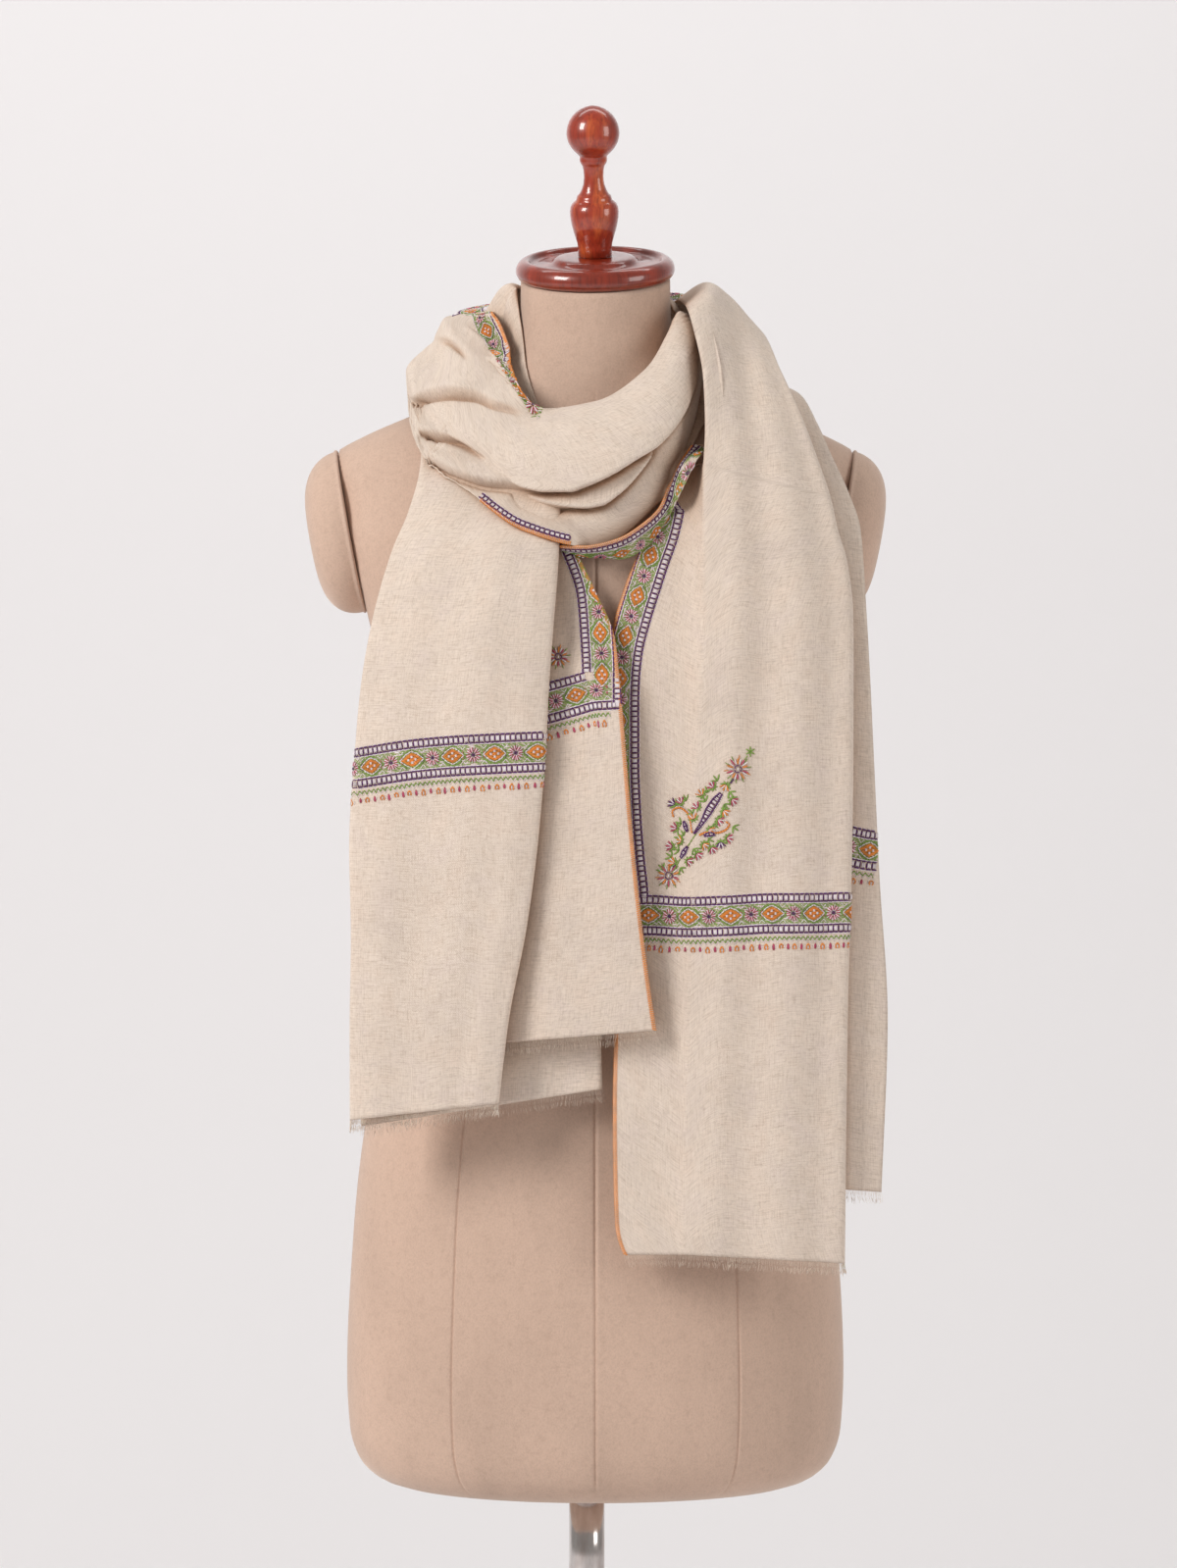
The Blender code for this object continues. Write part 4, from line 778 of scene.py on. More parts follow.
def motif_row(work, s0, s1, first, over, pitch=28.5, half=6.6):
    """Lozenges and flowers in turn, with sprigs of white and green between them."""
    index = 0
    s = first
    while s - pitch / 2 > s0:
        s -= pitch / 2
        index -= 1
    while s < s1 + over:
        if index % 2 == 0:
            lozenge(work, s, 0.0)
        else:
            flower(work, s, 0.0)
        between = s + pitch / 4
        for side in (-1, 1):
            work.line([(between - 1.9, side * (half - 0.4)), (between + 0.2, side * (half - 2.6)),
                       (between + 2.2, side * (half - 0.4))], 0.7, WHITE, 0.2)
            work.stitch(between + 0.1, side * 0.9, between + 0.1, side * 2.9, 1.0, (PINK, PURPLE)[index % 4 // 2], 0.25)
        s += pitch / 2
        index += 1


def bud_row(work, s0, s1):
    """The zigzag and the hanging buds below a cross border, rose and orange by turns."""
    rng = work.rng
    count = max(2, round((s1 - s0) / 3.3))
    step = (s1 - s0) / count
    points = [(s0 + step * (k + 0.5 * j) + rng.uniform(-0.25, 0.25), -15.3 - (2.6 + rng.uniform(-0.3, 0.5)) * j)
              for k in range(count) for j in (0, 1)]
    work.line(points, 0.78, GREEN, 0.1)
    work.line([(x + 0.4, y - 1.3) for x, y in points], 0.5, WHITE, 0.05)
    work.line([(s0, -14.0), (s1, -14.0)], 0.6, WHITE)
    for k in range(count):
        c = s0 + step * (k + 0.5)
        work.stitch(c, -15.0, c + rng.uniform(-0.4, 0.4), -16.7, 0.6, WHITE, 0.2)
    k = 0
    s = s0 + 2.0
    while s < s1 - 1.0:
        low = -24.6 + rng.uniform(-0.9, 0.9)
        if k % 2:
            for shift in (-1, 1):
                work.line([(s, -20.2), (s + shift * 1.45, low + 2.2), (s + shift * 0.7, low + 0.4)], 1.0, ORANGE, 0.1)
                work.stitch(s + shift * 2.1, low + 3.4, s + shift * 1.9, low + 1.0, 0.6, WHITE, 0.05)
            work.stitch(s, -21.4, s, low + 0.9, 0.7, WHITE, 0.15)
        else:
            for shift in (-0.45, 0.45):
                work.stitch(s + shift * 0.4, -20.2, s + shift, low + 0.2, 1.0, PINK, 0.1)
            for shift in (1, -1):
                work.stitch(s + shift * 1.3, -21.2, s + shift * 1.2, low + 1.4, 0.55, WHITE, 0.05)
        k += 1
        s += 4.9 + rng.uniform(-0.5, 0.9)


def border(work, s0, s1, first, inner=1, zigzag=False, inner_ladder=True, over=4.0):
    """A worked band centred on the course. With a zigzag it is a cross border, which hangs its buds to the right."""
    ground(work, s0, s1, -FIELD_HALF, FIELD_HALF)
    motif_row(work, s0, s1, first, over)
    for side in (-1, 1):
        work.line([(s0, side * 7.2), (s1, side * 7.2)], 0.8, WHITE, 0.1)
    ladder(work, s0, s1, -LADDER_OUT * inner)
    if inner_ladder:
        ladder(work, s0, s1, LADDER_OUT * inner)
    if zigzag:
        bud_row(work, s0, s1)


def overcast(work, surface, left_edge, first=0, last=None, pitch=1.25):
    """Threads whipped over a long edge, all the way along it."""
    path = surface.inset(left_edge, 1.2, first, last)
    points = surface.sample(surface.grid, path)
    reach = reach_along(points)
    at = np.arange(0.0, reach[-1], pitch)
    ij = read_at(at, reach, path)
    spots = surface.sample(surface.grid, ij)
    out = surface.sample(surface.normals, ij)
    along = 0.35 * np.gradient(spots, axis=0) / (np.linalg.norm(np.gradient(spots, axis=0), axis=1)[:, None] + TINY)
    way = unit(unit(surface.sample(surface.side, ij), TINY) + along)
    sizes = np.tile([2.3, 1.5, 4.0], (len(spots), 1))
    work.made.append((spots, way, out, sizes, np.full(len(spots), float(ORANGE))))


# ------------------------------------------------------------------ meshes and materials
def metres(points):
    return (np.asarray(points, float) + np.array([BODY_SHIFT, 0.0, 0.0])) * MM


def new_object(name, mesh):
    obj = bpy.data.objects.new(name, mesh)
    bpy.context.scene.collection.objects.link(obj)
    return obj


def mesh_of(name, points, faces, stuff):
    mesh = bpy.data.meshes.new(name)
    mesh.from_pydata(metres(points).tolist(), [], faces)
    mesh.materials.append(stuff)
    mesh.shade_smooth()
    mesh.update()
    return mesh


def skin(rings):
    """Faces between rings of points that follow one another. A ring of one point closes an end."""
    faces = []
    for a, b in zip(rings[:-1], rings[1:]):
        around = max(len(a), len(b))
        for k in range(around):
            n = (k + 1) % around
            if len(a) == 1:
                faces.append((a[0], b[k], b[n]))
            elif len(b) == 1:
                faces.append((a[k], a[n], b[0]))
            else:
                faces.append((a[k], a[n], b[n], b[k]))
    return faces


def solid(name, points, faces, stuff):
    """A closed object with its faces outward."""
    mesh = mesh_of(name, points, faces, stuff)
    shape = bmesh.new()
    shape.from_mesh(mesh)
    bmesh.ops.recalc_face_normals(shape, faces=shape.faces)
    shape.to_mesh(mesh)
    shape.free()
    return new_object(name, mesh)


def cloth_piece(name, surface, stuff):
    """A closed thin wall on a layer's grid, with the flat cloth's sizes in metres as its UV map."""
    grid, normals = surface.grid, surface.normals
    rows, across = grid.shape[:2]
    count = rows * across
    points = np.concatenate([(grid + normals * CLOTH_WALL / 2).reshape(-1, 3),
                             (grid - normals * CLOTH_WALL / 2).reshape(-1, 3)])
    raw = np.cross(surface.side[rows // 2, across // 2], surface.down[rows // 2, across // 2])
    turn = float(raw @ normals[rows // 2, across // 2]) > 0
    i, j = np.meshgrid(np.arange(rows - 1), np.arange(across - 1), indexing="ij")
    a = (i * across + j).reshape(-1)
    quads = np.stack([a, a + 1, a + across + 1, a + across], axis=1)
    if not turn:
        quads = quads[:, ::-1]
    under = quads[:, ::-1] + count
    loop = ([(0, k) for k in range(across)] + [(k, across - 1) for k in range(1, rows)]
            + [(rows - 1, k) for k in range(across - 2, -1, -1)] + [(k, 0) for k in range(rows - 2, 0, -1)])
    edge = np.array([r * across + c for r, c in loop])
    following = np.roll(edge, -1)
    rim = np.stack([following, edge, edge + count, following + count], axis=1)
    if not turn:
        rim = rim[:, ::-1]
    faces = np.concatenate([quads, under, rim])
    mesh = mesh_of(name, points, faces.tolist(), stuff)
    flat = np.stack([surface.from_left, surface.from_top], axis=-1).reshape(-1, 2) * MM
    flat = np.concatenate([flat, flat])
    layer = mesh.uv_layers.new(name="flat")
    layer.data.foreach_set("uv", flat[faces.reshape(-1)].reshape(-1).astype(np.float32))
    return new_object(name, mesh)


def feed(tree, socket, value):
    """Links an input from a socket, or gives it a value."""
    if isinstance(value, bpy.types.NodeSocket):
        tree.links.new(value, socket)
    else:
        socket.default_value = value


def add_node(tree, kind, inputs=(), **settings):
    made = tree.nodes.new(kind)
    for key, value in settings.items():
        setattr(made, key, value)
    for key, value in dict(inputs).items():
        feed(tree, made.inputs[key], value)
    return made


def shade(colour, factor=1.0):
    return tuple(min(1.0, c * factor) for c in colour[:3])


class Stuff:
    """A node material with a Principled shader, and short ways to add to it."""

    def __init__(self, name, **constants):
        self.material = bpy.data.materials.new(name)
        self.material.use_nodes = True
        self.tree = self.material.node_tree
        self.shader = self.tree.nodes["Principled BSDF"]
        self.place = self.node("ShaderNodeTexCoord")
        self.set(**constants)

    def set(self, **values):
        for key, value in values.items():
            feed(self.tree, self.shader.inputs[key.replace("_", " ")], value)

    def node(self, kind, inputs=(), **settings):
        return add_node(self.tree, kind, inputs, **settings)

    def spread(self, source, scale):
        return self.node("ShaderNodeMapping", {"Vector": self.place.outputs[source], "Scale": scale}).outputs["Vector"]

    def noise(self, source, scale, detail=3.0, rough=0.55):
        """Noise with one scale, or one for each axis."""
        place = self.spread(source, scale if isinstance(scale, tuple) else (scale,) * 3)
        return self.node("ShaderNodeTexNoise", {"Vector": place, "Scale": 1.0, "Detail": detail,
                                                "Roughness": rough}).outputs["Fac"]

    def ramp(self, fac, *stops):
        """Colours, or plain numbers for greys, at rising places."""
        made = self.node("ShaderNodeValToRGB", {"Fac": fac})
        elements = made.color_ramp.elements
        stops = [(at, (colour,) * 3 if isinstance(colour, float) else colour) for at, colour in stops]
        for element, (at, colour) in zip(elements, (stops[0], stops[-1])):
            element.position, element.color = at, (*colour, 1.0)
        for at, colour in stops[1:-1]:
            elements.new(at).color = (*colour, 1.0)
        return made.outputs["Color"]

    def dyed(self, fac, colour, low, dark, high, light):
        """A colour that turns darker and lighter with a noise."""
        return self.ramp(fac, (low, shade(colour, dark)), (0.5, shade(colour)), (high, shade(colour, light)))

    def multiply(self, share, base, layer):
        return self.node("ShaderNodeMix", {0: share, 6: base, 7: layer}, data_type="RGBA",
                         blend_type="MULTIPLY").outputs[2]

    def math(self, operation, a, b):
        return self.node("ShaderNodeMath", {0: a, 1: b}, operation=operation).outputs[0]

    def bump(self, height, strength, distance):
        self.set(Normal=self.node("ShaderNodeBump", {"Height": height, "Strength": strength,
                                                     "Distance": distance}).outputs["Normal"])


def pashmina_stuff(colour):
    """Fine twill with slubs both ways, a soft nap and a faint mottle of rose and grey, with painted shade: darker and
    warmer in its creases and hollows.
    """
    stuff = Stuff("pashmina_twill", Roughness=0.86, Sheen_Weight=0.22, Sheen_Roughness=0.45,
                  Sheen_Tint=(1.0, 0.95, 0.88, 1.0), Specular_IOR_Level=0.18)
    weft = stuff.noise("UV", (85.0, 1900.0, 1.0), 2.0)
    warp = stuff.noise("UV", (1900.0, 75.0, 1.0), 2.0)
    base = stuff.dyed(stuff.noise("UV", 16.0, 4.0), colour, 0.25, 0.93, 0.78, 1.05)
    mottle = stuff.ramp(stuff.noise("UV", (45.0, 38.0, 1.0)), (0.32, (0.975, 0.97, 0.99)), (0.5, 1.0),
                        (0.7, (1.0, 0.98, 0.97)))
    base = stuff.multiply(1.0, base, mottle)
    for slub, share in ((weft, 0.8), (warp, 0.65)):
        lines = stuff.ramp(slub, (0.34, (0.84, 0.81, 0.78)), (0.48, (0.975, 0.97, 0.965)), (0.66, 1.06))
        base = stuff.multiply(share, base, lines)
    # Painted shade: the occlusion node darkens and warms the cloth's colour in creases and where layers lie close.
    occlusion_for_shade = stuff.node("ShaderNodeAmbientOcclusion", {"Distance": 0.034}, samples=8).outputs["AO"]
    depth = stuff.ramp(occlusion_for_shade, (0.15, (0.56, 0.41, 0.31)), (0.55, (0.80, 0.71, 0.64)), (0.95, 1.0))
    base = stuff.multiply(1.0, base, depth)
    specks = stuff.ramp(stuff.noise("UV", 420.0, 2.0), (0.33, (0.80, 0.78, 0.77)), (0.5, 1.0), (1.0, 1.0))
    stuff.set(Base_Color=stuff.multiply(0.5, base, specks))
    twill = stuff.node("ShaderNodeTexWave", {"Vector": stuff.spread("UV", (1.0, 0.72, 1.0)), "Scale": 480.0,
                                             "Distortion": 0.6},
                       wave_type="BANDS", bands_direction="DIAGONAL").outputs["Fac"]
    threads = stuff.math("ADD", stuff.math("MULTIPLY", weft, 0.5), stuff.math("MULTIPLY", warp, 0.5))
    height = stuff.math("ADD", stuff.math("MULTIPLY", twill, 0.4), stuff.math("MULTIPLY", threads, 1.4))
    stuff.bump(height, 0.45, 0.0004)
    return stuff.material


def thread_stuff(name, colour, roughness=0.6):
    """Twisted embroidery thread with uneven dye."""
    stuff = Stuff(name, Roughness=roughness, Sheen_Weight=0.06, Sheen_Roughness=0.5)
    strand = stuff.noise("Object", 1500.0, 2.0)
    base = stuff.dyed(stuff.noise("Object", 160.0), colour, 0.3, 0.78, 0.72, 1.16)
    stuff.set(Base_Color=stuff.multiply(0.8, base, stuff.ramp(strand, (0.35, 0.86), (0.6, 1.0))))
    stuff.bump(strand, 0.2, 0.0003)
    return stuff.material


def velvet_stuff(colour):
    """Short-pile cover of the form, brushed unevenly."""
    stuff = Stuff("form_velvet", Roughness=0.92, Sheen_Weight=0.55, Sheen_Roughness=0.38,
                  Sheen_Tint=(1.0, 0.90, 0.82, 1.0), Specular_IOR_Level=0.12)
    pile = stuff.noise("Object", (900.0, 900.0, 700.0))
    lint = stuff.noise("Object", 210.0)
    base = stuff.dyed(stuff.noise("Object", (9.0, 9.0, 5.0), 5.0, 0.6), colour, 0.3, 0.86, 0.72, 1.10)
    base = stuff.multiply(0.7, base, stuff.ramp(pile, (0.3, (0.84, 0.83, 0.82)), (0.62, 1.0)))
    base = stuff.multiply(0.5, base, stuff.ramp(lint, (0.28, (0.86, 0.84, 0.83)), (0.5, 1.0)))
    stuff.set(Base_Color=base)
    stuff.bump(stuff.math("ADD", pile, stuff.math("MULTIPLY", lint, 0.6)), 0.35, 0.0006)
    return stuff.material


def wood_stuff(name, dark, light):
    """Stained and lacquered wood with a soft grain."""
    stuff = Stuff(name, Roughness=0.30, Coat_Weight=0.9, Coat_Roughness=0.07)
    pores = stuff.noise("Object", (700.0, 700.0, 60.0))
    base = stuff.ramp(stuff.noise("Object", (60.0, 60.0, 9.0), 6.0, 0.65), (0.30, shade(dark, 0.6)),
                      (0.5, tuple(dark[:3])), (0.70, tuple(light[:3])))
    stuff.set(Base_Color=stuff.multiply(0.5, base, stuff.ramp(pores, (0.36, (0.45, 0.4, 0.4)), (0.5, 1.0))))
    stuff.bump(pores, 0.06, 0.0003)
    return stuff.material


def metal_stuff(name, colour, wear_and_reflection, roughness):
    """Plated metal, hazed in patches, its colour darker and browner in patches that stand for wear and for painted
    reflections of dark surroundings.
    """
    stuff = Stuff(name, Metallic=1.0)
    scuff = stuff.noise("Object", (240.0, 240.0, 60.0), 4.0)
    # Painted reflection and wear: the colour falls in patches from the plating's own colour to a darker, browner one.
    stuff.set(Base_Color=stuff.ramp(stuff.noise("Object", (24.0, 24.0, 7.0), 6.0, 0.7), (0.36, tuple(wear_and_reflection[:3])),
                                    (0.58, tuple(colour[:3]))),
              Roughness=stuff.math("ADD", stuff.math("MULTIPLY", scuff, 0.22), roughness - 0.08))
    stuff.bump(scuff, 0.05, 0.0002)
    return stuff.material


def stage_stuff(colour):
    """Matt paper, clear from behind so that the object also shows from the back."""
    stuff = Stuff("stage_paper", Roughness=0.95, Specular_IOR_Level=0.1)
    stuff.set(Base_Color=stuff.ramp(stuff.noise("Object", 0.7, 2.0), (0.3, shade(colour, 0.985)), (0.7, shade(colour))))
    blend = stuff.node("ShaderNodeMixShader", {0: stuff.node("ShaderNodeNewGeometry").outputs["Backfacing"],
                                               1: stuff.shader.outputs[0],
                                               2: stuff.node("ShaderNodeBsdfTransparent").outputs[0]})
    feed(stuff.tree, stuff.tree.nodes["Material Output"].inputs[0], blend.outputs[0])
    return stuff.material


# ------------------------------------------------------------------ laid threads by Geometry Nodes
def thread_tree(mats):
    """Lays one thread on every point, along its way, with the size and the colour that the point carries."""
    tree = bpy.data.node_groups.new("laid_threads", "GeometryNodeTree")
    tree.interface.new_socket("Geometry", in_out="INPUT", socket_type="NodeSocketGeometry")
    sides = tree.interface.new_socket("Thread sides", in_out="INPUT", socket_type="NodeSocketInt")
    sides.default_value, sides.min_value = 4, 3
    tree.interface.new_socket("Plumpness", in_out="INPUT", socket_type="NodeSocketFloat").default_value = 1.0
    tree.interface.new_socket("Geometry", in_out="OUTPUT", socket_type="NodeSocketGeometry")
    came = add_node(tree, "NodeGroupInput").outputs

    def add(kind, inputs, result, **settings):
        return add_node(tree, kind, inputs, **settings).outputs[result]

    def carried(name, kind="FLOAT_VECTOR"):
        return add("GeometryNodeInputNamedAttribute", {"Name": name}, "Attribute", data_type=kind)

    ball = add("GeometryNodeMeshUVSphere", {"Rings": 3, "Radius": 0.5, "Segments": came["Thread sides"]}, "Mesh")
    turn = add("FunctionNodeAxesToRotation", {0: carried("way"), 1: carried("out")}, "Rotation",
               primary_axis="Z", secondary_axis="X")
    fuller = add("ShaderNodeVectorMath", {0: carried("size"), "Scale": came["Plumpness"]}, "Vector", operation="SCALE")
    laid = add("GeometryNodeInstanceOnPoints", {"Points": came["Geometry"], "Instance": ball, "Rotation": turn,
                                                "Scale": fuller}, "Instances")
    last = add("GeometryNodeRealizeInstances", {"Geometry": laid}, "Geometry")
    last = add("GeometryNodeSetShadeSmooth", {0: last}, 0)
    hue = carried("hue", "FLOAT")
    for index, stuff in enumerate(mats):
        same = add("FunctionNodeCompare", {"A": hue, "B": float(index), "Epsilon": 0.4}, "Result",
                   data_type="FLOAT", operation="EQUAL")
        last = add("GeometryNodeSetMaterial", {"Geometry": last, "Material": stuff, "Selection": same}, "Geometry")
    add_node(tree, "NodeGroupOutput", {"Geometry": last})
    return tree


def thread_piece(name, tree, parts, sides=4):
    """A plain mesh of threads from places, ways, outward sides, sizes and colour numbers."""
    spots, ways, outs, sizes, hues = parts
    mesh = bpy.data.meshes.new(name + "_points")
    mesh.from_pydata(metres(spots).tolist(), [], [])
    for key, values in (("way", ways), ("out", outs), ("size", sizes * MM)):
        carried = mesh.attributes.new(key, "FLOAT_VECTOR", "POINT")
        carried.data.foreach_set("vector", values.astype(np.float32).reshape(-1))
    mesh.attributes.new("hue", "FLOAT", "POINT").data.foreach_set("value", hues.astype(np.float32))
    obj = bpy.data.objects.new(name, mesh)
    laid = obj.modifiers.new("laid_threads", "NODES")
    laid.node_group = tree
    for item in tree.interface.items_tree:
        if item.item_type == "SOCKET" and item.in_out == "INPUT" and item.name == "Thread sides":
            laid[item.identifier] = sides
    bpy.context.scene.collection.objects.link(obj)
    bpy.context.view_layer.update()
    graph = bpy.context.evaluated_depsgraph_get()
    plain = bpy.data.meshes.new_from_object(obj.evaluated_get(graph), depsgraph=graph)
    obj.modifiers.clear()
    obj.data = plain
    plain.name = name
    for extra in [a.name for a in plain.attributes if a.name in ("way", "out", "size", "hue")]:
        plain.attributes.remove(plain.attributes[extra])
    bpy.data.meshes.remove(mesh)
    return obj


# ------------------------------------------------------------------ where the worked borders and sprays lie
def sprig(work, s, t, turn):
    """Three small leaves on a stem."""
    for a in (turn - 0.9, turn, turn + 0.9):
        work.ray(s, t, a, 0.0, 3.6 * 1.35, 1.25, GREEN, 0.15)


def floret(work, s, t, turn, hue, size=5.0):
    """A bell of petals opening away from the stem, in a pair of green leaves."""
    for a in (-0.75, -0.38, 0.0, 0.38, 0.75):
        work.ray(s, t, turn + a, 0.5, size, 1.05, WHITE if abs(a) == 0.38 else hue, 0.3)
    for a in (-1.15, 1.15):
        work.ray(s, t, turn, -0.8, size * 0.85, 1.15, GREEN, 0.2, turn + a)
    work.ray(s, t, turn, -2.4, 0.0, 0.8, GREEN, 0.15)
    for a in (-2.0, 2.0):
        work.ray(s, t, turn + a, 0.0, size * 0.55, 1.0, GREEN, 0.18)


def leaf(work, points, widths, rise=0.2):
    """A long leaf: two purple rails with purple rungs and white between them, as the ladders have."""
    spine = through(points, 60)
    half = np.interp(np.linspace(0, 1, 60), np.linspace(0, 1, len(widths)), widths)
    way = unit(np.gradient(spine, axis=0))
    side = np.stack([-way[:, 1], way[:, 0]], axis=1)
    reach = reach_along(spine)
    for n, d in enumerate(np.arange(0.9, reach[-1], 0.95)):
        k = min(int(np.searchsorted(reach, d)), 59)
        inner = max(half[k] - 0.5, 0.1)
        a, b = spine[k] + side[k] * inner, spine[k] - side[k] * inner
        work.line([tuple(a), tuple(b)], 0.95, PURPLE if n % 3 == 0 else WHITE, rise + 0.1, 3.4)
    for turn in (-1, 1):
        work.line([tuple(p) for p in (spine + turn * side * half[:, None])[::5]], 1.35, PURPLE, rise + 0.2)
        work.line([tuple(p) for p in (spine + turn * side * (half + 0.8)[:, None])[4:56:5]], 0.5, WHITE, rise)


def sun_flower(work, s, t, radius):
    """A round flower of fine rays, rose and orange by turns, tipped with white."""
    for k in range(RAYS):
        a = 2 * math.pi * k / RAYS + work.rng.uniform(-0.05, 0.05)
        work.ray(s, t, a, radius * 0.36, radius * work.rng.uniform(0.84, 1.0), 1.1, (PINK, WHITE, ORANGE, WHITE)[k % 4],
                 0.3 if k % 2 else 0.38)
        if k % 2:
            work.ray(s, t, a + math.pi / RAYS, radius * 0.72, radius * 1.16, 0.6, (GREEN, ORANGE)[k % 3 == 0], 0.2)
    for k in range(3):
        work.line([polar(s, t, radius * share, 0.6 + k * 2.1 + n) for n, share in enumerate((0.3, 0.32, 0.26))],
                  0.85, PURPLE, 0.5)
    work.stitch(s - 1.0, t, s + 1.0, t, 1.2, WHITE, 0.45)


def big_spray(work):
    """The tall flowering spray of the right tail: s runs down it and t to its right, from its upper flower."""
    rng = work.rng
    leaf(work, [(43.5, -29.4), (36, -24), (25, -17.5), (14.3, -9.5)], (0.3, 0.9, 2.2, 2.1, 0.4))
    leaf(work, [(52, -33.6), (56, -36.4), (60.5, -39.6)], (0.3, 1.5, 0.3))
    sun_flower(work, 0.0, 0.0, 8.4)
    sun_flower(work, 72.0, -48.0, 8.2)
    left = [(43, -30.6), (36, -31.4), (30.6, -32.8), (27.2, -37), (26.2, -41.8), (29, -45.2), (32.6, -44.4)]
    right = [(44.4, -26.0), (42.2, -20.4), (42.8, -14.6), (40.8, -8.2), (37.0, -5.6), (35.0, -8.0)]
    for run, turn in ((left, 1), (right, -1)):
        bent = [tuple(p) for p in through(run, 16)]
        work.line(bent, 1.6, ORANGE, 0.3, 2.2)
        work.line([(x - 1.0, y + turn * 0.5) for x, y in bent], 0.6, WHITE, 0.25, 2.2)
    leaf(work, [(42.0, -33.6), (38.4, -35.2), (34.6, -36.6)], (0.3, 1.3, 0.3), 0.3)
    leaf(work, [(44.8, -22.6), (43.6, -18.6), (43.8, -14.4)], (0.3, 1.3, 0.3), 0.3)
    for line in ([(72, -47), (66, -43.5), (60.5, -39.6)], [(52, -33.6), (47, -30.4), (43.5, -28)],
                 [(14, -9.5), (9, -5.4), (6, -3.6)]):
        work.line(line, 1.0, GREEN, 0.15)
    for s, t, turn, hue in ((10.2, -7.6, -0.3, ORANGE), (12.6, -16.0, 3.9, PINK), (17.8, -23.8, 3.8, ORANGE),
                            (20.2, -4.2, 0.9, PINK), (26.4, -26.6, 3.9, PINK), (27.6, -9.6, 0.7, ORANGE),
                            (33.8, -13.4, 0.9, PINK), (23.6, -38.6, 3.6, PINK), (24.2, -43.4, 4.2, PURPLE),
                            (40.2, -42.2, 4.4, PINK), (46.0, -7.6, 1.3, PINK), (48.6, -11.4, 0.2, PURPLE),
                            (52.6, -45.2, 4.5, PINK), (50.0, -23.4, 0.8, ORANGE), (48.8, -38.2, 4.4, ORANGE),
                            (56.6, -27.8, 0.9, PINK), (61.4, -34.2, 1.0, PINK), (63.6, -44.0, 4.2, ORANGE),
                            (52.4, -17.6, 0.7, PINK), (34.0, -29.2, 3.6, ORANGE), (40.4, -19.6, 1.2, ORANGE)):
        floret(work, s, t, turn + rng.uniform(-0.2, 0.2), hue)
    for s, t, turn in ((8, -13.4, 3.9), (15.2, -5.8, 0.8), (16.0, -20.4, 3.6), (22, -21.8, 3.7), (23.2, -9.0, 0.9),
                       (30, -29.8, 3.8), (31, -12.2, 0.7), (21.6, -34.6, 3.4), (37, -38.8, 4.2), (36.8, -16.6, 0.9),
                       (46.6, -39.8, 4.4), (46.8, -20.0, 0.9), (44.8, -36.2, 4.0), (55.2, -40.6, 4.2),
                       (53.4, -29.8, 0.9), (59.6, -45.8, 4.1), (59, -32.0, 0.8), (66.4, -39.6, 0.9), (67.8, -51.2, 4.1),
                       (38.4, -3.4, 1.0)):
        sprig(work, s, t, turn + rng.uniform(-0.3, 0.3))
    for a in np.linspace(0, 2 * math.pi, 7)[:-1]:
        work.ray(-11.6, 8.6, a, 0.0, 3.6, 1.0, GREEN, 0.2)
    work.line([(-8.8, 6.6), (-6.2, 4.6)], 0.9, GREEN, 0.2)
    work.line([(6.5, -3.0), (9.5, -5.0)], 1.5, PURPLE, 0.35)
    work.line([(64.5, -43.6), (67.0, -45.0)], 1.4, PURPLE, 0.35)


def nearest_s(course, place):
    """How far along a course its point lies that is seen at a front place."""
    spots = seen(course.surface.sample(course.surface.grid, course.ij))
    return float(course.s[((spots - np.array(place)) ** 2).sum(1).argmin()])


def level_course(surface, places, reach_left=True, reach_right=True):
    """A cross course through front places, carried on round both edges of the layer."""
    ij = surface.locate(through(np.array(places, float), 30))
    columns = surface.grid.shape[1]
    if reach_left and ij[0, 1] > 1.5:
        lead = np.arange(0.0, ij[0, 1] - 0.5, 1.0)
        ij = np.concatenate([np.stack([np.full_like(lead, ij[0, 0]), lead], axis=1), ij])
    if reach_right and ij[-1, 1] < columns - 2.5:
        tail_on = np.arange(math.ceil(ij[-1, 1] + 0.5), columns - 0.9, 1.0)
        ij = np.concatenate([ij, np.stack([np.full_like(tail_on, ij[-1, 0]), tail_on], axis=1)])
    return Course(surface, ij)


def work_left_front(surface):
    work = Needlework(3)
    course = level_course(surface, ((-167, 1075), (-155, 1077), (-126, 1081.5), (-98, 1084), (-72, 1085.5),
                                    (-40, 1087)))
    border(work, 0.0, course.length, nearest_s(course, (-155, 1077)), zigzag=True)
    work.place(course)
    return work


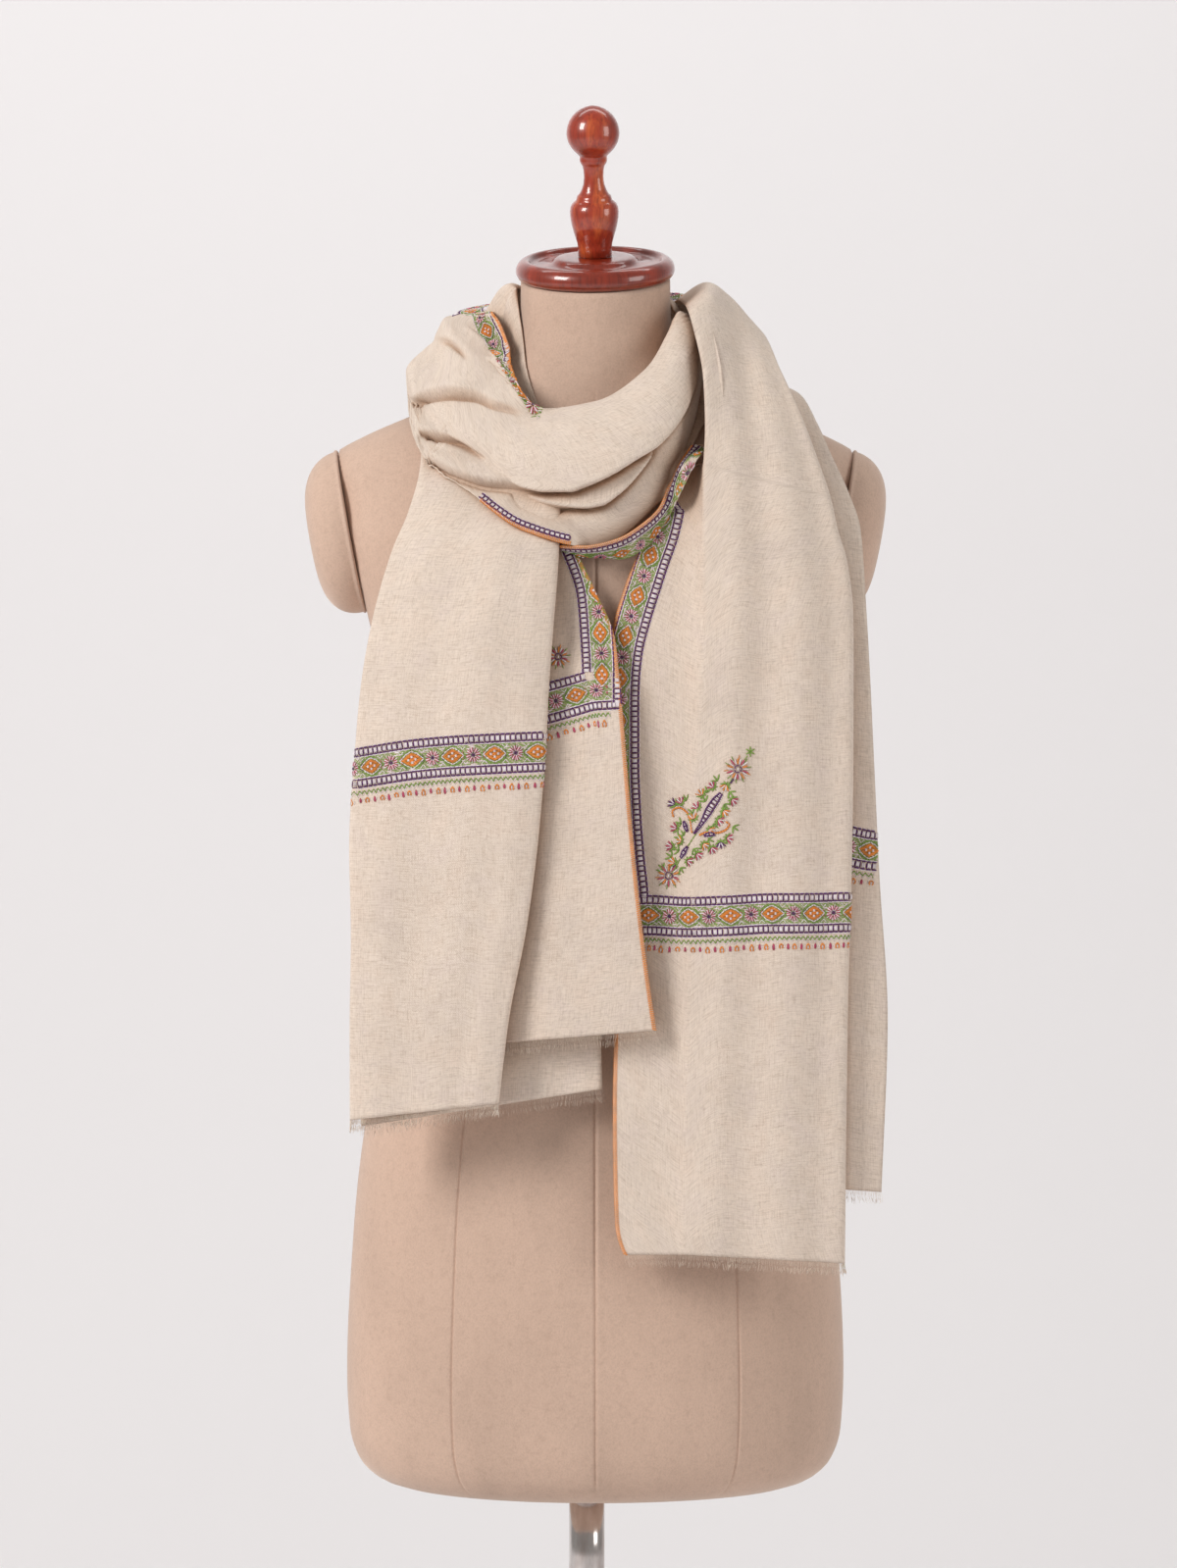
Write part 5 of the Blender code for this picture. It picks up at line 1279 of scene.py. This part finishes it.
def work_left_side(surface):
    work = Needlework(14)
    overcast(work, surface, False)
    down = Course(surface, surface.locate(through([(-23, 1236), (-21, 1229), (-15, 1214), (-10, 1198), (-8.4, 1184),
                                                   (-7.5, 1171), (-6, 1143.5), (-6, 1118)], 40)))
    foot = nearest_s(down, (-6, 1141.5))
    border(work, 0.0, foot, nearest_s(down, (-10, 1197)), inner=-1)
    ladder(work, foot, nearest_s(down, (-6, 1119)), LADDER_OUT)
    work.shift(0.0, LADDER_OUT)  # since that course runs along the inner ladder
    work.place(down)
    spot = Course(surface, surface.locate(through([(-25.8, 1190), (-25.8, 1152), (-25.8, 1110)], 16)))
    sun_flower(work, nearest_s(spot, (-25.8, 1152.3)), 0.0, 7.6)
    work.place(spot)
    cross = level_course(surface, ((-40, 1119), (-32, 1121), (-14, 1126), (-1, 1129.5), (8, 1130), (16, 1130.5)),
                         reach_right=False)
    corner = nearest_s(cross, (11.4, 1130.2))
    border(work, 0.0, corner, nearest_s(cross, (-14, 1126)), zigzag=True, inner_ladder=False, over=0.0)
    ladder(work, 0.0, nearest_s(cross, (-4.0, 1128.6)), LADDER_OUT)
    ladder(work, corner, nearest_s(cross, (15.8, 1130.4)), -LADDER_OUT)
    work.place(cross)
    return work


def work_right_front(surface):
    work = Needlework(16)
    rows = np.argwhere(surface.grid[:, 0, 2] < TUCK_TOP)
    overcast(work, surface, True, int(rows[0][0]))
    down = [(50, 1266), (44.7, 1241), (36.5, 1217.6), (32.5, 1205), (27.5, 1190), (23.5, 1176), (19.8, 1162),
            (17.8, 1148), (16.8, 1136), (16.3, 1119), (16.3, 1082), (17.7, 1044), (20.4, 1010), (23, 985), (23.5, 960)]
    down = Course(surface, surface.locate(through(down, 70)))
    foot = nearest_s(down, (23, 984.5))
    border(work, 0.0, foot, nearest_s(down, (29, 1194.5)), inner=1)
    ladder(work, foot, nearest_s(down, (23.5, 962)), -LADDER_OUT)
    work.place(down)
    cross = level_course(surface, ((18, 972), (37, 973.5), (63, 972), (90, 972.8), (119, 974.5), (150, 974.8),
                                   (172, 975.5)), reach_left=False)
    border(work, 0.0, cross.length, nearest_s(cross, (37, 973.5)), zigzag=True)
    work.place(cross)
    spray = Course(surface, surface.locate(through([(98.6, 1105), (98.6, 1075), (98.6, 1030), (98.6, 985)], 20)))
    big_spray(work)
    work.shift(nearest_s(spray, (98.6, 1075.5)), 0.0)
    work.place(spray)
    return work


def work_right_back(surface):
    work = Needlework(15)
    course = level_course(surface, ((170, 1023), (182, 1020), (190, 1018.5), (196, 1018)))
    border(work, 0.0, course.length, nearest_s(course, (190, 1018.5)), zigzag=True)
    work.place(course)
    return work


def beyond_fold(parts, run):
    """Which threads lie above the line that a plain fold lays over a band."""
    nearest, side, _ = beside(through(run, 60), seen(parts[0]))
    keep = (side > 0.0) | (nearest == 0) | (parts[0][:, 1] > FRONT_HALF)
    return tuple(part[keep] for part in parts)


def work_cowl(surface):
    work = Needlework(11)
    rows = len(surface.grid)
    start, end, rim_start = (int(rows * (angle + COWL_HALF) / (2 * COWL_HALF)) for angle in (9.0, 42.0, 28.0))
    overcast(work, surface, False, start, end)
    low = Course(surface, surface.inset(False, 4.6, start, end))
    ladder(work, 0.0, low.length, 0.0, 2.0)
    work.place(low)
    overcast(work, surface, True, rim_start)
    rim = Course(surface, surface.inset(True, BAND_IN, rim_start))
    border(work, 0.0, rim.length, nearest_s(rim, (-74, 1377)), inner=1, inner_ladder=False)
    outer = [row for row in work.flat if abs(row[1] + LADDER_OUT) < 4.2]
    work.flat = [row for row in work.flat if abs(row[1] + LADDER_OUT) >= 4.2]
    work.place(rim)
    work.made[-1] = beyond_fold(work.made[-1], COWL_CREASES[BAND_FOLD]["run"])
    work.flat = outer
    work.place(rim)
    return work


def work_nape(surface):
    work = Needlework(12)
    overcast(work, surface, True)
    rim = Course(surface, surface.inset(True, BAND_IN))
    border(work, 0.0, rim.length, 8.0, inner=1)
    work.place(rim)
    return work


def work_turned_edge(surface):
    work = Needlework(13)
    overcast(work, surface, True)
    rim = Course(surface, surface.inset(True, 4.2))
    ladder(work, 0.0, rim.length, 0.0, 2.1)
    ground(work, 0.0, rim.length, -16.4, -3.2)
    for k in range(9):
        s = 12.0 + 14.2 * k
        if k % 2:
            flower(work, s, -9.6, 4.6)
        else:
            lozenge(work, s, -9.6, 6.4, 4.4)
    work.line([(0.0, -3.1), (rim.length, -3.1)], 0.7, WHITE, 0.1)
    work.place(rim)
    return work


def fringe_threads(surface, length, pitch, seed):
    """Loose warp ends below the last row."""
    rng = random.Random(seed)
    grid = surface.grid
    points = grid[-1]
    reach = reach_along(points)
    spots, ways, outs, sizes, hues = [], [], [], [], []
    at = 0.3
    while at < reach[-1]:
        j = float(np.interp(at, reach, np.arange(len(reach))))
        ij = np.array([len(grid) - 1.001, j])
        root = surface.sample(grid, ij)
        out = surface.sample(surface.normals, ij)
        down = surface.sample(surface.down, ij)
        side = surface.sample(surface.side, ij)
        down, side = down / np.linalg.norm(down), side / np.linalg.norm(side)
        lean = 0.2 * math.sin(at / 7.0 + seed) + rng.uniform(-0.15, 0.15)
        way = down + side * lean + out * rng.uniform(-0.05, 0.12)
        way /= np.linalg.norm(way)
        size = length * rng.uniform(0.40, 0.60)
        start = root + out * rng.uniform(0.0, 0.35) - down * 0.3
        for k in range(2):
            spots.append(start + way * size * 0.5)
            ways.append(way)
            outs.append(out)
            sizes.append((0.64, 0.14, size * 1.06))
            hues.append(float(CREAM))
            start = start + way * size
            way = way + side * rng.uniform(-0.35, 0.35)
            way /= np.linalg.norm(way)
        at += pitch * rng.uniform(0.7, 1.3)
    return [np.array(part) for part in (spots, ways, outs, sizes, hues)]


# ------------------------------------------------------------------ sizes and colours a user may change
def length_property(name, words, value):
    return FloatProperty(name=name, description=words, default=value, subtype="DISTANCE", unit="LENGTH", precision=4)


def colour_property(name, words, value):
    return FloatVectorProperty(name=name, description=words, default=value, subtype="COLOR", size=3, min=0.0, max=1.0)


def power_property(name, words, value):
    return FloatProperty(name=name, description=words, default=value, min=0.0)


class ShawlSettings(bpy.types.PropertyGroup):
    fringe_length: length_property("Fringe length", "Length of the loose warp ends", 0.0084)
    fringe_pitch: length_property("Fringe pitch", "Distance from one loose end to the next", 0.00062)
    thread_sides: IntProperty(name="Thread sides", description="Sides of each laid thread", default=4, min=3, max=8)
    cloth_colour: colour_property("Cloth", "Undyed pashmina", (0.830, 0.712, 0.612))
    purple: colour_property("Purple", "Thread of the ladders", (0.108, 0.020, 0.140))
    white: colour_property("White", "Thread of the outlines", (0.92, 0.83, 0.85))
    green: colour_property("Green", "Thread of the field and leaves", (0.235, 0.400, 0.070))
    orange: colour_property("Orange", "Thread of the lozenges and long edges", (0.86, 0.290, 0.045))
    pink: colour_property("Pink", "Thread of the flowers", (0.55, 0.075, 0.150))


class FormSettings(bpy.types.PropertyGroup):
    seam_depth: length_property("Seam depth", "How deep the cover's seams sink", 0.0011)
    velvet_colour: colour_property("Velvet", "Cover of the form", (0.665, 0.480, 0.378))
    wood_dark: colour_property("Dark wood", "Stain of the neck plate", (0.270, 0.028, 0.010))
    wood_light: colour_property("Light wood", "Lighter grain of the turned wood", (0.75, 0.165, 0.040))
    chrome_colour: colour_property("Chrome", "Plating of the pole", (0.74, 0.70, 0.68))


class StageSettings(bpy.types.PropertyGroup):
    paper_colour: colour_property("Paper", "Floor and backdrop", (0.88, 0.865, 0.875))
    key_power: power_property("Key light", "Power of the light at the front left", 96.0)
    fill_power: power_property("Fill light", "Power of the light at the right", 24.0)
    sky: power_property("Room light", "Strength of the even light all round", 0.30)


MADE = {}


def finish_piece(obj, nodes):
    """Ties a piece to the body, and hides the part's nodes that it replaces."""
    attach(obj, "root")
    if nodes:
        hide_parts(*nodes)
    return obj


class SHAWL_OT_cloth(bpy.types.Operator):
    """Builds every stretch and layer of the shawl as a thin wall of twill"""
    bl_idname = "shawl.cloth"
    bl_label = "Build the cloth"

    def execute(self, context):
        stuff = pashmina_stuff(context.scene.shawl.cloth_colour)
        MADE["surfaces"] = {name: Surface(grid) for name, grid in all_cloth().items()}
        for name, surface in MADE["surfaces"].items():
            piece = cloth_piece("cloth_" + name, surface, stuff)
            MADE[name] = finish_piece(piece, [name])
        return {"FINISHED"}


class SHAWL_OT_needlework(bpy.types.Operator):
    """Works the borders, the sprays and the whipped long edges stitch by stitch"""
    bl_idname = "shawl.needlework"
    bl_label = "Work the borders and edges"

    def execute(self, context):
        colours = context.scene.shawl
        # Painted light: the fringe's cream thread is lighter than the cloth, to make up for the shade that the close
        # threads cast on one another.
        cream_with_painted_light = tuple(min(1.0, c * 1.15) for c in colours.cloth_colour)
        mats = [thread_stuff("thread_purple", colours.purple), thread_stuff("thread_white", colours.white),
                thread_stuff("thread_green", colours.green), thread_stuff("thread_orange", colours.orange),
                thread_stuff("thread_pink", colours.pink), thread_stuff("thread_cream_painted_light", cream_with_painted_light, 0.85)]
        MADE["tree"] = thread_tree(mats)
        makers = dict(left_tail_front=work_left_front, left_tail_side=work_left_side, right_tail_front=work_right_front,
                      right_tail_back=work_right_back, neck_cowl=work_cowl, neck_nape=work_nape,
                      cowl_turned_edge=work_turned_edge)
        for name, maker in makers.items():
            work = maker(MADE["surfaces"][name])
            piece = thread_piece("stitches_" + name, MADE["tree"], work.joined(), colours.thread_sides)
            MADE["stitches_" + name] = finish_piece(piece, [])
        return {"FINISHED"}


class SHAWL_OT_fringes(bpy.types.Operator):
    """Hangs the loose warp ends from every end of the shawl"""
    bl_idname = "shawl.fringes"
    bl_label = "Hang the fringes"

    def execute(self, context):
        sizes = context.scene.shawl
        for seed, end in enumerate(("left_front", "left_side", "left_back", "right_front", "right_back"), 40):
            node = "fringe_" + end
            surface = MADE["surfaces"][end.replace("_", "_tail_")]
            parts = fringe_threads(surface, sizes.fringe_length / MM, sizes.fringe_pitch / MM, seed)
            piece = thread_piece("ends_" + node, MADE["tree"], parts, 5)
            MADE[node] = finish_piece(piece, [node])
        return {"FINISHED"}


def circle(steps, radius=1.0):
    return [(radius * math.cos(2 * math.pi * k / steps), radius * math.sin(2 * math.pi * k / steps))
            for k in range(steps)]


def lathe(name, profile, steps, stuff, tilt=None, spot=(0.0, 0.0, 0.0)):
    """A closed turning from (height, radius) pairs."""
    points, rings = [], []
    for height, radius in profile:
        ring = [(0.0, 0.0)] if radius < 0.01 else circle(steps, radius)
        rings.append(range(len(points), len(points) + len(ring)))
        points += [(x, y, height) for x, y in ring]
    points = np.array(points, float)
    if tilt:
        ax, ay = tilt
        points = points @ np.array([[1, 0, 0], [0, math.cos(ax), math.sin(ax)], [0, -math.sin(ax), math.cos(ax)]])
        points = points @ np.array([[math.cos(ay), 0, -math.sin(ay)], [0, 1, 0], [math.sin(ay), 0, math.cos(ay)]])
    points = points + np.array(spot) - np.array([BODY_SHIFT, 0.0, 0.0])
    return solid(name, points, skin(rings), stuff)


PLATE_PROFILE = (
    (0.3, 0.0), (0.3, 50.0), (0.7, 51.8), (2.2, 53.2), (4.0, 54.3), (6.0, 54.75), (8.0, 54.6), (10.0, 54.0),
    (12.0, 52.7), (13.4, 51.0), (14.3, 49.4), (14.6, 47.5), (14.1, 46.1), (13.0, 45.2), (11.9, 44.6), (11.2, 43.6),
    (11.0, 40.0), (11.1, 36.0), (11.4, 31.5), (12.2, 29.6), (13.6, 28.4), (14.8, 27.3), (15.4, 26.0), (15.7, 23.5),
    (15.8, 20.0), (16.0, 0.0),
)
FINIAL_PROFILE = (
    (0.3, 0.0), (0.3, 11.6), (6.5, 11.6), (9.5, 12.1), (13.0, 13.2), (17.5, 14.6), (22.0, 15.7), (27.0, 16.6),
    (31.0, 16.8), (34.2, 16.3), (36.5, 15.2), (38.0, 13.6), (39.0, 12.4), (40.0, 12.1), (41.0, 11.9), (42.0, 11.5),
    (42.6, 10.8),
    (44.2, 9.5), (46.0, 8.6), (50.0, 7.2), (55.0, 6.7), (59.5, 7.0), (62.5, 7.6), (64.0, 8.6), (65.5, 9.3), (67.0, 9.5),
    (68.6, 9.3), (69.8, 9.9), (71.0, 11.2), (73.5, 13.7), (76.0, 15.5), (79.0, 17.1), (81.5, 17.8), (84.5, 18.2),
    (87.5, 18.0), (91.0, 17.2), (94.0, 15.9), (97.0, 13.9), (99.5, 11.3), (101.8, 8.0), (103.2, 4.6), (103.8, 2.2),
    (104.0, 0.0),
)
PLATE_TOP = 16.0
BASE_RADIUS, BASE_THICK = 185.0, 14.0
POLE_RADIUS = 12.4
COLLAR_RADIUS, COLLAR_THICK = 19.5, 3.0
BODY_BOTTOM = 575.0
SEAM_ANGLES = (-124.6, -90.0, -55.4, 0.0, 55.4, 90.0, 124.6, 180.0)


def build_torso(stuff, seam_depth):
    """The form's body with its sewn seams, its armholes cut off flat."""
    angles = list(np.linspace(-180.0, 180.0, 144, endpoint=False))
    for seam in SEAM_ANGLES:
        angles += [seam + d for d in (-1.2, -0.75, -0.5, -0.3, -0.12, 0.0, 0.12, 0.3, 0.5, 0.75, 1.2)]
    angles = sorted(set(round(((a + 180.0) % 360.0) - 180.0, 3) for a in angles))
    kept = [a for k, a in enumerate(angles) if k == 0 or a - angles[k - 1] > 0.08]
    a = np.radians(kept)
    body = body_rings(4.0)
    rings = []
    signed = np.array([min((((k - seam + 180.0) % 360.0) - 180.0 for seam in SEAM_ANGLES), key=abs) for k in kept])
    for height, half_w, half_d, back in zip(body["z"], body["half_w"], body["half_d"], body["back"]):
        ease = np.clip((height - 577.0) / 20.0, 0.0, 1.0) * np.clip((1335.0 - height) / 25.0, 0.0, 1.0)
        across = np.radians(signed) * (half_w + half_d) / 2
        sink = ease * (seam_depth * np.exp(-(across / 0.8) ** 2) - 0.30 * np.exp(-((across - 1.9) / 1.2) ** 2)
                       + 0.25 * np.exp(-(across / 7.0) ** 2))
        x = (half_w - sink) * np.cos(a)
        y = back + (half_d - sink) * np.sin(a)
        z = height + neck_lift(x, y, height)
        plane = ARMHOLE_FOOT[0] + (z - ARMHOLE_FOOT[1]) * ARMHOLE_RUN / ARMHOLE_FALL
        plane = np.where(z < ARMHOLE_FOOT[1] - 30.0, 400.0, plane)
        x = np.clip(x, -plane, plane)
        rings.append(np.stack([x, y, z], axis=1))
    order = np.arange(len(rings) * len(a)).reshape(len(rings), -1).tolist()
    faces = skin(order) + [tuple(order[0]), tuple(order[-1])]
    return solid("velvet_torso", np.concatenate(rings), faces, stuff)


def build_cap(name, side, stuff):
    """A padded armhole plate with its edge seam."""
    lean, half_high = math.atan2(ARMHOLE_RUN, ARMHOLE_FALL), math.hypot(ARMHOLE_RUN, ARMHOLE_FALL) / 2
    middle_x = (ARMHOLE_TOP[0] + ARMHOLE_FOOT[0]) / 2
    middle_z = (ARMHOLE_TOP[1] + ARMHOLE_FOOT[1]) / 2
    stations = [(0.0, 0.0), (0.0, 0.985), (0.9, 1.004), (2.0, 1.0), (2.7, 0.985)]
    for k in range(1, 24):
        rise = k / 24
        stations.append((2.4 + (CAP_BULGE - 2.4) * math.sin(rise * math.pi / 2),
                         0.985 * max(math.cos(rise * math.pi / 2), 0.0) ** 0.55))
    stations.append((CAP_BULGE, 0.0))
    points, rings = [], []
    for out, shrink in stations:
        out += 0.3
        ring = circle(96) if shrink else [(0.0, 0.0)]
        rings.append(range(len(points), len(points) + len(ring)))
        for deep, up in ring:
            up, deep = half_high * (up * shrink), CAP_HALF_DEPTH * (deep * shrink) - 2.0
            points.append((side * (middle_x + out * math.cos(lean) + up * math.sin(lean)), deep,
                           middle_z - out * math.sin(lean) + up * math.cos(lean) - 3.0 * out / CAP_BULGE))
    return solid(name, points, skin(rings), stuff)


class SHAWL_OT_form(bpy.types.Operator):
    """Builds the form's velvet body and its two armhole plates"""
    bl_idname = "shawl.form"
    bl_label = "Build the form"

    def execute(self, context):
        sizes = context.scene.shawl_form
        stuff = velvet_stuff(sizes.velvet_colour)
        finish_piece(build_torso(stuff, sizes.seam_depth / MM), ["form_torso"])
        for side, tag in ((-1, "left"), (1, "right")):
            finish_piece(build_cap("velvet_cap_" + tag, side, stuff), ["form_cap_" + tag])
        return {"FINISHED"}


class SHAWL_OT_stand(bpy.types.Operator):
    """Turns the neck plate, the finial, the pole, its collar and the base"""
    bl_idname = "shawl.stand"
    bl_label = "Build the stand"

    def execute(self, context):
        sizes = context.scene.shawl_form
        red = wood_stuff("red_mahogany", sizes.wood_dark, tuple(c * 1.6 for c in sizes.wood_dark))
        warm = wood_stuff("warm_mahogany", tuple(c * 1.5 for c in sizes.wood_dark), sizes.wood_light)
        # The chrome's darker brown patches are painted reflections of dark surroundings, together with wear.
        chrome = metal_stuff("chrome_wear_and_painted_reflection", sizes.chrome_colour, (0.46, 0.37, 0.33), 0.16)
        brushed = metal_stuff("brushed_base", (0.60, 0.59, 0.58), (0.50, 0.49, 0.48), 0.30)
        axis = (-math.sin(NECK_ROLL), -math.sin(NECK_TILT), math.cos(NECK_TILT))
        for name, node, profile, lift, stuff in (("turned_plate", "neck_plate", PLATE_PROFILE, 0.0, red),
                                                 ("turned_finial", "finial", FINIAL_PROFILE, PLATE_TOP, warm)):
            spot = [NECK_TOP[k] + axis[k] * lift for k in range(3)]
            spot = (spot[0] + BODY_SHIFT, spot[1], spot[2] + 0.2)
            finish_piece(lathe(name, profile, 96, stuff, (NECK_TILT, -NECK_ROLL), spot), [node])
        top = BODY_BOTTOM - 0.3
        foot = top - COLLAR_THICK
        pole_top = BODY_BOTTOM - COLLAR_THICK - 0.6
        pole_foot = BASE_THICK + 0.3
        pole = ((pole_foot, 0.0), (pole_foot, POLE_RADIUS),
                *((pole_foot + (pole_top - BASE_THICK - 0.3) * k / 12, POLE_RADIUS) for k in range(1, 12)),
                (pole_top, POLE_RADIUS), (pole_top, 0.0))
        collar = ((foot, 0.0), (foot, COLLAR_RADIUS - 1.2), (foot + 0.3, COLLAR_RADIUS - 0.5),
                  (foot + 0.9, COLLAR_RADIUS), (top - 0.6, COLLAR_RADIUS), (top, COLLAR_RADIUS - 0.6), (top, 0.0))
        base = ((0.0, 0.0), (0.0, BASE_RADIUS - 2.0), (0.6, BASE_RADIUS - 0.6), (2.0, BASE_RADIUS),
                (BASE_THICK - 4.0, BASE_RADIUS), (BASE_THICK - 2.0, BASE_RADIUS - 0.6),
                (BASE_THICK - 0.8, BASE_RADIUS - 2.2), (BASE_THICK, BASE_RADIUS - 5.0), (BASE_THICK, 0.0))
        for name, profile, steps, stuff, node, slot in (
                ("chrome_pole", pole, 72, chrome, "stand_pole", "chrome"),
                ("chrome_collar", collar, 72, chrome, "stand_collar", "chrome"),
                ("round_base", base, 128, brushed, "stand_base", "base_metal")):
            finish_piece(lathe(name, profile, steps, stuff), [node])
        return {"FINISHED"}


class SHAWL_OT_declare(bpy.types.Operator):
    """Takes no step and returns at once"""
    bl_idname = "shawl.declare"
    bl_label = "Declare the cloth"

    def execute(self, context):
        return {"FINISHED"}


def area_light(name, place, aim, size, power, colour=(1.0, 1.0, 1.0)):
    data = bpy.data.lights.new(name, "AREA")
    data.shape, data.size, data.size_y = "RECTANGLE", size[0], size[1]
    data.energy, data.color = power, colour
    obj = bpy.data.objects.new(name, data)
    obj.location = place
    obj.rotation_euler = (Vector(aim) - Vector(place)).to_track_quat("-Z", "Y").to_euler()
    bpy.context.scene.collection.objects.link(obj)


CAMERA_EYE = (0.006, -4.0, 1.30)
CAMERA_AIM = (0.0012, 0.0, 1.0646)
VIEW_HEIGHT = 1.08732  # metres of the object's plane from the top of the view to its foot
SENSOR = 36.0


class SHAWL_OT_stage(bpy.types.Operator):
    """Lays the paper, hangs the lights and sets up the camera"""
    bl_idname = "shawl.stage"
    bl_label = "Set the stage"

    def execute(self, context):
        scene = context.scene
        settings = scene.shawl_stage
        paper = stage_stuff(settings.paper_colour)
        profile = [(-6.0, 0.0), (1.2, 0.0)]
        profile += [(1.2 + 1.2 * math.sin(a), 1.2 - 1.2 * math.cos(a)) for a in np.linspace(0.0, math.pi / 2, 24)[1:]]
        profile += [(2.4, 5.0)]
        points = [(x, y, z) for y, z in profile for x in (-7.0, 7.0)]
        faces = [(2 * k, 2 * k + 1, 2 * k + 3, 2 * k + 2) for k in range(len(profile) - 1)]
        mesh = bpy.data.meshes.new("paper_sweep")
        mesh.from_pydata(points, [], faces)
        mesh.materials.append(paper)
        mesh.shade_smooth()
        new_object("paper_sweep", mesh)
        area_light("key", (-2.6, -2.1, 2.9), (0.0, 0.0, 1.1), (1.2, 1.6), settings.key_power, (1.0, 0.98, 0.96))
        area_light("fill", (2.6, -1.5, 1.7), (0.0, 0.0, 1.05), (1.2, 1.8), settings.fill_power, (1.0, 0.985, 0.965))
        area_light("backdrop_wash", (0.0, 0.6, 3.4), (0.0, 2.4, 1.2), (3.0, 0.8), 24.0)
        world = bpy.data.worlds.new("studio")
        scene.world = world
        world.use_nodes = True
        back = world.node_tree.nodes["Background"]
        back.inputs["Color"].default_value = (1.0, 0.965, 0.935, 1.0)
        back.inputs["Strength"].default_value = settings.sky
        scene.view_settings.view_transform = "Standard"
        data = bpy.data.cameras.new("camera")
        camera = bpy.data.objects.new("camera", data)
        eye, aim = Vector(CAMERA_EYE), Vector(CAMERA_AIM)
        camera.location = eye
        camera.rotation_euler = (aim - eye).to_track_quat("-Z", "Y").to_euler()
        data.sensor_width = SENSOR
        data.lens = SENSOR * (aim - eye).length / VIEW_HEIGHT
        scene.collection.objects.link(camera)
        scene.camera = camera
        return {"FINISHED"}


class SHAWL_PT_panel(bpy.types.Panel):
    """Sizes, colours and steps of the shawl on its form"""
    bl_idname = "SHAWL_PT_panel"
    bl_label = "Shawl on a form"
    bl_space_type = "VIEW_3D"
    bl_region_type = "UI"
    bl_category = "Shawl"

    def draw(self, context):
        for owner in (context.scene.shawl, context.scene.shawl_form, context.scene.shawl_stage):
            box = self.layout.box()
            for name in owner.__annotations__:
                box.prop(owner, name)
        for step in STEPS:
            self.layout.operator(step.bl_idname)


STEPS = (SHAWL_OT_stage, SHAWL_OT_form, SHAWL_OT_stand, SHAWL_OT_cloth, SHAWL_OT_needlework, SHAWL_OT_fringes,
         SHAWL_OT_declare)
CLASSES = (ShawlSettings, FormSettings, StageSettings, *STEPS, SHAWL_PT_panel)


def register():
    for made in CLASSES:
        bpy.utils.register_class(made)
    bpy.types.Scene.shawl = PointerProperty(type=ShawlSettings)
    bpy.types.Scene.shawl_form = PointerProperty(type=FormSettings)
    bpy.types.Scene.shawl_stage = PointerProperty(type=StageSettings)


def unregister():
    for name in ("shawl", "shawl_form", "shawl_stage"):
        delattr(bpy.types.Scene, name)
    for made in reversed(CLASSES):
        bpy.utils.unregister_class(made)


def main():
    register()
    bpy.ops.shawl.stage()
    bpy.ops.shawl.form()
    bpy.ops.shawl.stand()
    bpy.ops.shawl.cloth()
    bpy.ops.shawl.needlework()
    bpy.ops.shawl.fringes()
    bpy.ops.shawl.declare()
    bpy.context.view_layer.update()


if __name__ == "__main__":
    main()
